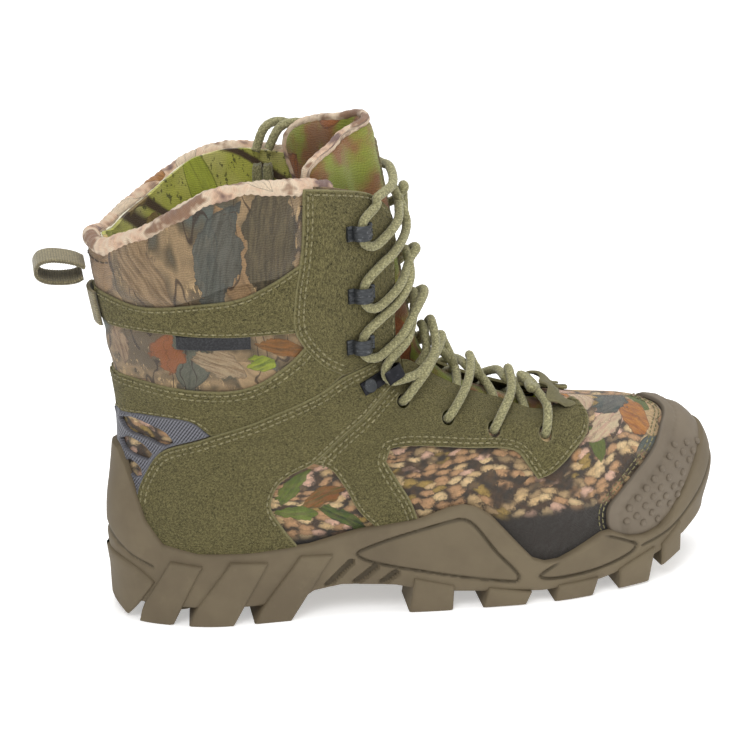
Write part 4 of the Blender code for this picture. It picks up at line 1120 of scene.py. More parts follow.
def filled(loops: Sequence[Array], spacing: float = 2.6,
           rings: Sequence[float] = (0.25, 0.7, 1.5)) -> tuple[Array, Array, Array, Array]:
    """Fills outlines with triangles.

    Args:
        loops: The outer outline and then the holes, as t, phi rows.
        spacing: How far apart the points inside lie, in mm.
        rings: How far inside the outlines further rings of points lie, in mm.

    Returns:
        t, phi, the triangles, and each point's distance from the outlines.
    """
    middle = loops[0].mean(axis=0)
    a = LAST.point(middle[0] + 0.01, middle[1]) - LAST.point(middle[0] - 0.01, middle[1])
    spread = LAST.point(loops[0][:, 0], loops[0][:, 1] + 0.05) - LAST.point(
        loops[0][:, 0], loops[0][:, 1] - 0.05)
    scale = np.array([np.linalg.norm(a) / 0.02,
                      np.median(np.linalg.norm(spread, axis=1)) / 0.1])
    flats = [loop * scale for loop in loops]
    low, high = flats[0].min(0), flats[0].max(0)
    rows = np.arange(low[0], high[0], spacing * 0.87)
    grid = [(r, c + (k % 2) * spacing / 2) for k, r in enumerate(rows)
            for c in np.arange(low[1], high[1], spacing)]
    inner = [np.array(grid)[:, :2]]
    gaps = [np.full(len(grid), rings[-1] + spacing * 0.5)]
    for ring in rings:
        for loop in flats:
            d = np.roll(loop, -1, axis=0) - np.roll(loop, 1, axis=0)
            n = np.column_stack([-d[:, 1], d[:, 0]])
            n /= np.linalg.norm(n, axis=1, keepdims=True) + 1e-9
            for sign in (-1, 1):
                inner.append(loop + n * ring * sign)
                gaps.append(np.full(len(loop), ring * 0.93))
    points, gap = np.concatenate(inner), np.concatenate(gaps)
    good = inside(points, flats[0])
    for hole in flats[1:]:
        good &= ~inside(points, hole)
    points, gap = points[good], gap[good]
    away = np.min([distance(points, loop) for loop in flats], axis=0)
    points, away = points[away >= gap], away[away >= gap]
    everything = np.concatenate(flats + [points])
    edges, start = [], 0
    for loop in flats:
        n = len(loop)
        edges += [(start + k, start + (k + 1) % n) for k in range(n)]
        start += n
    out = delaunay_2d_cdt([Vector(p) for p in everything], edges, [], 0, 1e-4)
    verts = np.array([tuple(v) for v in out[0]])
    tris = np.array(out[2])
    centres = verts[tris].mean(axis=1)
    good = inside(centres, flats[0])
    for hole in flats[1:]:
        good &= ~inside(centres, hole)
    tris = tris[good]
    edge = np.min([distance(verts, loop) for loop in flats], axis=0)
    t, phi = (verts / scale).T
    p = LAST.point(t, phi)
    n = np.cross(p[tris[:, 1]] - p[tris[:, 0]], p[tris[:, 2]] - p[tris[:, 0]])
    if (n * LAST.normal(t[tris[:, 0]], phi[tris[:, 0]])).sum() < 0:
        tris = tris[:, ::-1]
    return t, phi, tris, edge


def rounded(edge: Array, full: float, radius: float) -> Array:
    """How much a cut edge has dropped at a distance from it.

    Args:
        edge: The distances, in mm.
        full: How deep the drop is at the very edge.
        radius: From how far inside the surface is level.

    Returns:
        The drops, in mm.
    """
    s = 1 - np.clip(edge / radius, 0, 1)
    return full * (1 - np.sqrt(1 - s * s * 0.999))


def cut_sheet(name: str, loops: Sequence[Array], low: Offset, high: Offset,
              material: bpy.types.Material, soft: tuple[float, float] = (0.7, 0.8),
              spacing: float = 2.6) -> bpy.types.Object:
    """A piece cut from sheet, laid on the last, with rounded edges.

    Args:
        name: The piece's name.
        loops: The outer outline and then the holes, as t, phi rows.
        low: The inner distance from the last, or a function of t, phi and edge.
        high: The outer distance, likewise.
        material: Its finish.
        soft: How deep and how wide the edges are rounded.
        spacing: How far apart its points lie.

    Returns:
        The object.
    """
    t, phi, tris, edge = filled(loops, spacing)
    bottom = low(t, phi, edge) if callable(low) else np.full(len(t), float(low))
    top = high(t, phi, edge) if callable(high) else np.full(len(t), float(high))
    top = top - rounded(edge, *soft)
    return layer(name, t, phi, tris, bottom, top, material, edge)


def frames_along(path: Array, closed: bool = False) -> tuple[Array, Array, Array]:
    """Directions along a path and two across it that do not twist.

    Args:
        path: The path's points.
        closed: Whether it runs back to its start.

    Returns:
        The directions along it, and two at right angles to it.
    """
    if closed:
        d = np.roll(path, -1, axis=0) - np.roll(path, 1, axis=0)
    else:
        d = np.gradient(path, axis=0)
    d /= np.linalg.norm(d, axis=1, keepdims=True) + 1e-12
    a = np.empty_like(d)
    start = np.cross(d[0], (0, 0, 1.0) if abs(d[0][2]) < 0.9 else (1.0, 0, 0))
    a[0] = start / np.linalg.norm(start)
    for k in range(1, len(d)):
        moved = a[k - 1] - d[k] * (a[k - 1] @ d[k])
        a[k] = moved / (np.linalg.norm(moved) + 1e-12)
    return d, a, np.cross(d, a)


def tube_mesh(path: Array, radius: Union[float, Array], sides: int = 12,
              relief: Optional[Callable[[Array, Array], Array]] = None,
              closed: bool = False) -> tuple[Array, Faces, Array]:
    """A tube along a path.

    Args:
        path: Its middle line.
        radius: Its radius, the same all along or one for each point.
        sides: How many sides it has.
        relief: Adds to the radius, from the mm along and the angle round.
        closed: Whether it runs back to its start.

    Returns:
        Points, faces and the flat coordinates, whose third part is the relief.
    """
    _, a, b = frames_along(path, closed)
    run = np.concatenate([[0], np.cumsum(np.linalg.norm(np.diff(path, axis=0), axis=1))])
    turn = np.arange(sides) * 2 * math.pi / sides
    r = np.broadcast_to(radius, len(path))[:, None] * np.ones(sides)
    s, w = np.meshgrid(run, turn, indexing="ij")
    lift = relief(s, w) if relief else np.zeros_like(s)
    r = r + lift
    points = (path[:, None, :] + (a[:, None, :] * np.cos(turn)[:, None]
                                  + b[:, None, :] * np.sin(turn)[:, None]) * r[..., None])
    n = len(path)
    flat = np.column_stack([s.ravel(), w.ravel() * np.mean(radius), lift.ravel() + 0.35])
    faces = grid_faces(n, sides, True).tolist()
    if closed:
        last = (n - 1) * sides
        faces += [[last + k, last + (k + 1) % sides, (k + 1) % sides, k]
                  for k in range(sides)]
    else:
        faces += [list(range(sides))[::-1], [(n - 1) * sides + k for k in range(sides)]]
    return points.reshape(-1, 3), faces, flat


def joined(meshes: Sequence[tuple[Array, Faces, Array]]) -> tuple[Array, Faces, Array]:
    """Several meshes as one."""
    points, faces, flats, start = [], [], [], 0
    for p, f, flat in meshes:
        points.append(p)
        flats.append(flat)
        faces += [[k + start for k in face] for face in f]
        start += len(p)
    return np.concatenate(points), faces, np.concatenate(flats)


@dataclass
class Stitcher:
    """Sews rows of stitches along paths on the upper."""

    length: float = 2.7
    gap: float = 0.9
    radius: float = 0.42
    sides: int = 6

    def row(self, t: Array, phi: Array, off: Array) -> tuple[Array, Faces, Array]:
        """One row of stitches.

        Args:
            t: The path's heights.
            phi: Its places round the boot.
            off: Its distance from the last.

        Returns:
            Points, faces and flat coordinates.
        """
        p = LAST.at(t, phi, off)
        run = np.concatenate([[0], np.cumsum(np.linalg.norm(np.diff(p, axis=0), axis=1))])
        count = int(run[-1] / (self.length + self.gap))
        if count < 1:
            return np.zeros((0, 3)), [], np.zeros((0, 3))
        goal = np.linspace(0, run[-1], count * 6 + 1)
        line = np.stack([np.interp(goal, run, p[:, k]) for k in range(3)], axis=1)
        up = LAST.normal(np.interp(goal, run, t), np.interp(goal, run, phi))
        starts = np.arange(count) * 6
        knots = np.array([0.0, 0.12, 0.5, 0.88, 1.0])
        a, b = line[starts], line[starts + 6]
        along = (b - a) * (self.length / (self.length + self.gap))
        n = up[starts + 3]
        side = np.cross(along, n)
        side /= np.linalg.norm(side, axis=1, keepdims=True) + 1e-9
        size = np.array([0.45, 0.9, 1.0, 0.9, 0.45]) * self.radius
        lift = np.array([-0.22, 0.02, 0.16, 0.02, -0.22])
        turn = np.arange(self.sides) * 2 * math.pi / self.sides
        middle = (a[:, None, :] + along[:, None, :] * knots[:, None]
                  + n[:, None, :] * lift[:, None])
        ring = (side[:, None, None, :] * np.cos(turn)[None, None, :, None]
                + n[:, None, None, :] * np.sin(turn)[None, None, :, None])
        points = (middle[:, :, None, :] + ring * size[None, :, None, None]).reshape(-1, 3)
        each = 5 * self.sides
        one = grid_faces(5, self.sides, True).tolist()
        one += [list(range(self.sides))[::-1], [4 * self.sides + k for k in range(self.sides)]]
        faces = [[k + each * c for k in face] for c in range(count) for face in one]
        flat = np.column_stack([points[:, 0], points[:, 2], np.full(len(points), 0.5)])
        return points, faces, flat

    def inset_row(self, loop: Array, first: Points, last: Points, inset: float,
                  off: float, side: int) -> tuple[Array, Faces, Array]:
        """A row inside an outline, between the spots next to two side-view points.

        Args:
            loop: The closed outline, as t, phi rows.
            first: Where the row starts, x and z.
            last: Where it ends; the row follows the outline's own order.
            inset: How far inside it runs, in mm.
            off: Its distance from the last.
            side: OUTER or INNER.

        Returns:
            Points, faces and flat coordinates.
        """
        p = LAST.point(loop[:, 0], loop[:, 1])
        here = p[:, 1] * side > -4
        spots = [int(np.argmin(np.hypot(p[:, 0] - x, p[:, 2] - z) + 1e3 * ~here))
                 for x, z in (first, last)]
        count = (spots[1] - spots[0]) % len(loop)
        t, phi = np.roll(loop, -spots[0], axis=0)[:count + 1].T
        p = LAST.point(t, phi)
        d = np.gradient(p, axis=0)
        d /= np.linalg.norm(d, axis=1, keepdims=True) + 1e-9
        inward = np.cross(LAST.normal(t, phi), d) * inset
        trial = np.column_stack(LAST.shift(t, phi, inward))
        if inside(trial, loop).mean() < 0.5:
            trial = np.column_stack(LAST.shift(t, phi, -inward))
        return self.row(trial[:, 0], trial[:, 1], off)


# ---- the upper's cloth ---------------------------------------------------------------

THROAT = np.array([(130, 102), (158, 90), (182, 86), (209, 84), (221, 84)], float)
BAND_TOP = np.array([(-1, 167), (17, 162), (44, 164), (63, 166), (77, 172), (93, 181)],
                    float)
ROWS, COLUMNS = 16, 20
ANKLE_ROW, COLLAR_ROW, SEAM_COLUMN, SHAFT_COLUMN = 10, 14, 9, 17


def covered(t: Array, phi: Array) -> Array:
    """Where the throat is closed, so that cloth and lining cover the place."""
    x, _, z = LAST.point(t, phi).T
    shaft = np.where(z > 125, x < 134, (x < 130) | (z < np.interp(x, *THROAT.T)))
    return (x > 221) | shaft


@dataclass
class Cloth:
    """The printed panels under the suede, and the lining inside them."""

    grain: float = 2.2
    sunk: float = 1.5
    wall_reach: float = 9.0

    def lattice(self, rows: tuple[float, float], turns: tuple[float, float],
                below: float = 0.0) -> tuple[Array, Array, tuple[int, int]]:
        """A fine grid of places between two rows and two turns.

        Args:
            rows: The first and last of the sixteen rows from sole to rim.
            turns: The first and last phi.
            below: How many mm the first row hangs under the feather edge.

        Returns:
            t and phi of each place, and the grid's shape.
        """
        n = max(4, int((rows[1] - rows[0]) * 12.2 / self.grain))
        m = max(4, int((turns[1] - turns[0]) * 62 / self.grain))
        share, phi = np.meshgrid(np.linspace(0, 1, n), np.linspace(*turns, m),
                                 indexing="ij")
        rim = LAST.rim(phi)
        low = rows[0] / ROWS * rim - below / 190
        t = low + (rows[1] / ROWS * rim - low) * share
        return t.ravel(), phi.ravel(), (n, m)

    def panel(self, name: str, rows: tuple[float, float], turns: tuple[float, float],
              material: bpy.types.Material, offset: Callable[[Array, Array], Array],
              thick: float, below: float = 0.0) -> bpy.types.Object:
        """One panel as a closed shell.

        Args:
            name: The piece's name.
            rows: Its first and last row.
            turns: Its first and last phi.
            material: Its finish.
            offset: Its outer distance from the last, of t and phi.
            thick: Its thickness.
            below: How far it hangs under the feather edge.

        Returns:
            The object.
        """
        t, phi, (n, m) = self.lattice(rows, turns, below)
        middle_t = t.reshape(n, m)[:-1, :-1] + 0.004
        middle_p = phi.reshape(n, m)[:-1, :-1] + 0.01
        keep = covered(middle_t.ravel(), middle_p.ravel()).reshape(n - 1, m - 1)
        high = offset(t, phi)
        return layer(name, t, phi, grid_faces(n, m, False, keep), high - thick, high,
                     material)

    def build(self, wear: "Wardrobe") -> None:
        """Makes the five panels, the collar's padding and the lining."""
        turn = math.pi / COLUMNS
        seam = SEAM_COLUMN * turn
        bark_cloth, collar = wear.cloths[Print.BARK], wear.cloths[Print.COLLAR]

        def taut(t: Array, phi: Array) -> Array:
            """Cloth drawn smooth over the last."""
            x, y, z = LAST.point(t, phi).T
            return 0.25 * ripple(x + y, z, 1.0) + 1.1 * ease((0.035 - t) / 0.03)

        def full(t: Array, phi: Array) -> Array:
            """Cloth over a little padding, as on the shaft's rear window."""
            x, y, z = LAST.point(t, phi).T
            row = t / LAST.rim(phi) * ROWS
            swell = np.sin(np.clip((row - ANKLE_ROW) / 4.0, 0, 1) * math.pi)
            free = ease((90 - x) / 8)
            return 0.3 + free * (1.1 * swell + 0.5 * ripple(x + y, z * 1.4, 2.0))

        def plump(t: Array, phi: Array) -> Array:
            """Cloth over the collar's foam, held flat under the suede and at the seams."""
            x, y, z = LAST.point(t, phi).T
            free = ease((95 - x) / 7) * ease((z - np.interp(x, *BAND_TOP.T) + 1) / 7)
            free = free * (1 - 0.92 * ease((0.62 - np.abs(phi)) / 0.25))
            row = np.clip((t / LAST.rim(phi) * ROWS - COLLAR_ROW) / 2.0, 0, 1)
            folds = bell(row - 1, 0.28) * np.sin(phi * 23) * 0.4
            loose = 3.2 * ease((1 - row) / 0.3 + 0.3) + folds + 0.8 * ripple(
                x + y, z * 1.2, 4.0)
            return 0.3 + loose * free

        made = [
            (self.panel("vamp", (0, ANKLE_ROW), (seam, 2 * math.pi - seam), bark_cloth,
                        taut, self.sunk, self.wall_reach), "vamp_fabric"),
            (self.panel("quarter_outer", (0, ANKLE_ROW), (-seam, 0.0), bark_cloth, taut,
                        self.sunk), "quarter_fabric_lateral"),
            (self.panel("quarter_inner", (0, ANKLE_ROW), (0.0, seam), bark_cloth, taut,
                        self.sunk), "quarter_fabric_medial"),
            (self.panel("shaft_cloth", (ANKLE_ROW, COLLAR_ROW),
                        (-SHAFT_COLUMN * turn, SHAFT_COLUMN * turn), collar, full,
                        self.sunk), "ankle_fabric"),
            (self.panel("collar", (COLLAR_ROW, ROWS),
                        (-SHAFT_COLUMN * turn, SHAFT_COLUMN * turn), collar, plump, 1.6),
             "collar_fabric")]
        for piece, node in made:
            settle(piece, "camouflage_fabric", [node])
        self.lining(wear)

    def lining(self, wear: "Wardrobe") -> None:
        """The quilted inside of the boot, up to the rim."""
        t, phi, (n, m) = self.lattice((0, ROWS), (-math.pi, math.pi))
        t, phi = t.reshape(n, m)[:, :-1], phi.reshape(n, m)[:, :-1]
        keep = covered(t[:-1].ravel() + 0.004, phi[:-1].ravel() + 0.01)
        row = t / LAST.rim(phi) * ROWS
        step = ease((row - (COLLAR_ROW - 2.5)) / 1.5)
        roll = ease((row - 14.9) / 1.1)
        x, y, z = LAST.point(t.ravel(), phi.ravel()).T
        wave = 0.5 * ripple(x + 2 * y, z * 1.3, 6.0).reshape(t.shape)
        inner = -6.6 - 2.6 * step + 1.2 * roll + wave * step - 0.4
        outer = -3.4 - 3.0 * step
        faces = grid_faces(n, m - 1, True, keep.reshape(n - 1, m - 1))
        piece = layer("lining", t.ravel(), phi.ravel(), faces, inner.ravel(),
                      outer.ravel(), wear.cloths[Print.LIME])
        settle(piece, "collar_lining", ["insulated_lining"])


@dataclass
class CollarEdge:
    """The rolled edge of the collar and the stitched seam beneath it."""

    radius: float = 4.6
    reach: float = 2.2
    rise: float = -0.004

    def build(self, wear: "Wardrobe") -> None:
        """Makes the roll and the seam beneath it."""
        phi = np.linspace(-self.reach, self.reach, 560)
        t = LAST.rim(phi)
        kernel = np.ones(25) / 25
        t = np.convolve(np.pad(t, 12, "edge"), kernel, "valid")
        path = LAST.at(t + self.rise, phi, -1.6 - 2.6 * ease((np.abs(phi) - 1.85) / 0.2))

        def puckers(s: Array, w: Array) -> Array:
            """Small pulls along the roll, deeper at its seam."""
            return (0.28 * np.sin(s * 0.62 + 1.5 * np.sin(s * 0.13))
                    * (0.6 + 0.4 * np.cos(w)) + 0.16 * np.sin(s * 1.9 + w))

        swell = self.radius * (0.93 + 0.07 * np.sin(phi * 9))
        points, faces, flat = tube_mesh(path, swell, 20, puckers)
        flat[:, 2] = NO_EDGE
        piece = make_piece("collar_roll", points, faces, wear.piping, flat)
        settle(piece, "collar_lining", ["collar_piping"])
        height = (2.9 - 1.5 * ease((np.abs(phi) - 1.6) / 0.3)
                  - 2.0 * ease((0.62 - np.abs(phi)) / 0.25))
        points, faces, flat = Stitcher(3.2, 1.0, 0.34).row(t - 0.025, phi, height)
        settle(make_piece("collar_seam", points, faces, wear.dark_thread, flat), "collar_lining")


# ---- suede -----------------------------------------------------------------------------

@dataclass(frozen=True)
class Seam:
    """Rows of stitches between two spots of an outline, inside it."""

    first: tuple[float, float]
    last: tuple[float, float]
    insets: tuple[float, ...] = (1.9,)


@dataclass(frozen=True)
class Cut:
    """One suede piece: its node's name, outline, thickness and seams."""

    name: str
    outline: tuple[tuple[float, float], ...]
    high: float
    seams: tuple[Seam, ...]
    round_heel: bool = False


LACE_HOLES = [(140, 104), (162, 93), (185, 85), (211, 80)]
SUEDE_LOW = 0.9
CUTS = [
    Cut("collar_band", (
        (-1, 167), (17, 162), (44, 164), (63, 166), (77, 172), (93, 181), (94, 163),
        (94, 147), (57, 147), (26, 149), (4, 150)), 2.2,
        (Seam((-1, 167), (91, 179), (2.0,)), Seam((90, 147), (4, 150), (1.7,))), True),
    Cut("ankle_band", (
        (4, 125), (20, 123), (42, 120), (66, 121), (85, 132), (95, 142), (103, 131),
        (112, 122.5), (97, 113), (72, 103), (47, 96.5), (37, 104), (17, 105), (6, 104)),
        2.2, (Seam((4, 125), (92, 139), (2.0, 4.6)), Seam((44, 97), (6, 104), (1.6,))),
        True),
    Cut("upper_lace_stay", (
        (94, 216), (93, 196), (91, 180), (88, 163), (88, 147), (100, 129), (111, 121.5),
        (126, 126), (138, 131), (138, 148), (138.5, 160), (139, 172), (140, 185),
        (139, 193), (135, 200), (126, 208), (106, 214)), 2.7,
        (Seam((106, 214), (94, 214), (2.4,)), Seam((93, 213), (88, 147), (2.2, 4.6)),
         Seam((88, 147), (110, 121.5), (2.0, 4.4)), Seam((138, 131), (139, 193), (2.0,)),
         Seam((139, 193), (106, 214), (2.4,)))),
    Cut("heel_overlay", (
        (12, 64), (17, 77), (25, 88), (45, 96), (70, 104), (94, 113), (111, 121),
        (126, 125.5), (139, 130), (141, 116), (135, 112), (126, 105), (111, 94),
        (94, 80), (83, 75), (77, 70), (73, 59), (78, 48), (88, 33), (60, 32), (34, 32),
        (24, 36), (17, 41), (12, 51)), 3.0,
        (Seam((12, 60), (139, 130), (2.0, 4.4)),
         Seam((135, 112), (94, 80), (2.0,)), Seam((94, 80), (77, 50), (2.0,)))),
    Cut("lower_lace_stay", (
        (141.5, 115.5), (141, 123), (144, 122), (157, 112), (172, 103), (192, 95),
        (207, 89), (216, 88), (225, 88.5), (232, 88.5), (235, 86), (235.5, 82), (232, 77),
        (225, 73), (217, 68), (210, 64), (204, 62.5), (199, 70), (195, 75), (187, 77.5),
        (172, 79.5), (157, 82), (139, 84.5), (132, 84), (129.5, 78), (135, 68), (141, 57),
        (145, 45), (150, 30), (118, 30), (125, 43), (116, 53), (109, 67),
        (102, 77), (94.5, 80), (111, 94), (126, 105), (135, 112)), 2.6,
        (Seam((204, 63), (130, 83), (2.0, 4.4)), Seam((130, 82), (147, 40), (2.0, 4.4)),
         Seam((120, 40), (102, 77), (2.0,)), Seam((102, 77), (135, 112), (2.2, 4.6)),
         Seam((234, 79), (206, 63), (2.2,))))]


@dataclass
class SuedeSet:
    """All the cut suede pieces, punched and stitched."""

    hole: float = 3.2
    edge: tuple[float, float] = (0.8, 0.9)

    def build(self, wear: "Wardrobe") -> None:
        """Makes each piece on its side or sides, and then its stitches."""
        for cut in CUTS:
            if cut.round_heel:
                self.one(cut, wrapped_loop(cut.outline), cut.name, (OUTER, INNER), wear)
                continue
            for side in (OUTER, INNER):
                self.one(cut, side_loop(cut.outline, side), f"{cut.name}_{WORDS[side]}",
                         (side,), wear)
        self.throat_tab(wear)

    def punched(self, side: int) -> list[Array]:
        """The lace holes on one side as outlines."""
        turn = np.linspace(0, 2 * math.pi, 21)[:-1]
        return [np.column_stack(LAST.locate(x + self.hole * np.cos(turn),
                                            z + self.hole * np.sin(turn), side))
                for x, z in LACE_HOLES]

    def one(self, cut: Cut, loop: Array, node: str, sides: Sequence[int],
            wear: "Wardrobe") -> None:
        """One piece and its stitches.

        Args:
            cut: What it is cut like.
            loop: Its outline as t, phi rows.
            node: The frame's node that it stands for.
            sides: The sides that have seams.
            wear: The finishes.
        """
        holes = self.punched(sides[0]) if cut.name == "lower_lace_stay" else []

        def surface(t: Array, phi: Array, edge: Array) -> Array:
            """The nap's unevenness, and the seams' grooves beside the edges."""
            x, y, z = LAST.point(t, phi).T
            return (cut.high + 0.18 * ripple(x * 1.3, z * 1.3 + y, 5.0)
                    - 0.3 * bell(edge - 2.0, 0.7))

        piece = cut_sheet(f"{node}_suede", [loop] + holes, SUEDE_LOW, surface, wear.suede,
                          self.edge, 2.4)
        settle(piece, "green_suede", [node])
        sewn = []
        for side in sides:
            for seam in cut.seams:
                ends = (seam.first, seam.last)
                if side == INNER and cut.round_heel:
                    ends = (seam.last, seam.first)
                for inset in seam.insets:
                    sewn.append(Stitcher().inset_row(loop, *ends, inset, cut.high - 0.1,
                                                     side))
        points, faces, flat = joined(sewn)
        settle(make_piece(f"{node}_stitches", points, faces, wear.thread, flat),
               "green_suede")

    def throat_tab(self, wear: "Wardrobe") -> None:
        """The smooth tab over the lowest lace, arched at its rear edge."""
        spots = [(214.5, 87.5), (214, 90), (216, 92.2)]
        t, phi = LAST.locate(*np.array(spots, float).T, INNER)
        rear = np.column_stack([t, phi])
        crest = LAST.locate(217, 92.6, INNER)[0][0]
        front_t, front_phi = LAST.locate(*np.array([(230, 86.5), (224, 86.3),
                                                    (218, 87)], float).T, INNER)
        tip = LAST.locate(236, 90, INNER)[0][0]
        half = np.concatenate([rear, [(crest, math.pi)]])
        front = np.column_stack([front_t, front_phi])
        mirror = np.array([(a, 2 * math.pi - b) for a, b in rear[::-1]])
        other = np.array([(a, 2 * math.pi - b) for a, b in front[::-1]])
        tips = [(tip, math.pi + turn) for turn in (0.3, 0.0, -0.3)]
        outline = np.concatenate([half, mirror, other, tips, front])
        scale = np.array([190.0, 40.0])
        loop = curve_through(outline * scale, 1.5, closed=True, corner=60) / scale

        def low(t: Array, phi: Array, edge: Array) -> Array:
            """Clear of the lace at the rear, flat on the suede in front."""
            x = LAST.point(t, phi)[:, 0]
            off = np.abs(np.abs(phi) - math.pi)
            lift = ease((227 - x) / 10) * (1.9 + 2.7 * ease(off / 0.38))
            return 0.9 + 1.85 * np.maximum(ease((off - 0.08) / 0.15), ease(
                (227 - x) / 10)) + lift

        piece = cut_sheet("throat_tab_cover", [loop], low,
                          lambda t, phi, edge: low(t, phi, edge) + 1.3, wear.smooth,
                          (0.6, 0.7), 2.4)
        settle(piece, "smooth_suede", ["throat_tab"])


@dataclass
class HeelCap:
    """The ribbed mesh over the heel, with three slots on each side."""

    high: float = 2.5
    slots: tuple[tuple[tuple[float, float], ...], ...] = (
        ((7, 101), (11, 103), (19, 101), (27, 97.5), (30, 93), (26, 91), (18, 93.5),
         (10, 96)),
        ((7, 90), (10, 93), (16, 90), (20, 85.5), (18, 82.5), (12, 84), (8, 86.5)),
        ((8, 79), (10, 81.5), (14, 78), (14.6, 74), (11.6, 73), (8.6, 76)))

    def build(self, wear: "Wardrobe") -> None:
        """Makes the cap and its welded rims."""
        outline = [(6, 104.5), (17, 105.6), (37, 104.4), (46, 97), (26, 89), (17.5, 77.5),
                   (12.4, 64), (12.4, 51), (13, 40), (3, 32)]
        loop = wrapped_loop(outline)
        holes = [side_loop(slot, side, 1.0) for side in (OUTER, INNER) for slot in self.slots]

        def surface(t: Array, phi: Array, edge: Array) -> Array:
            """A flat mesh with a raised rim round each slot."""
            return self.high + 0.45 * bell(edge - 0.9, 0.7)

        piece = cut_sheet("heel_mesh", [loop] + holes, 0.6, surface, wear.mesh, (0.5, 0.5),
                          2.4)
        settle(piece, "heel_mesh", ["heel_mesh_cap"])


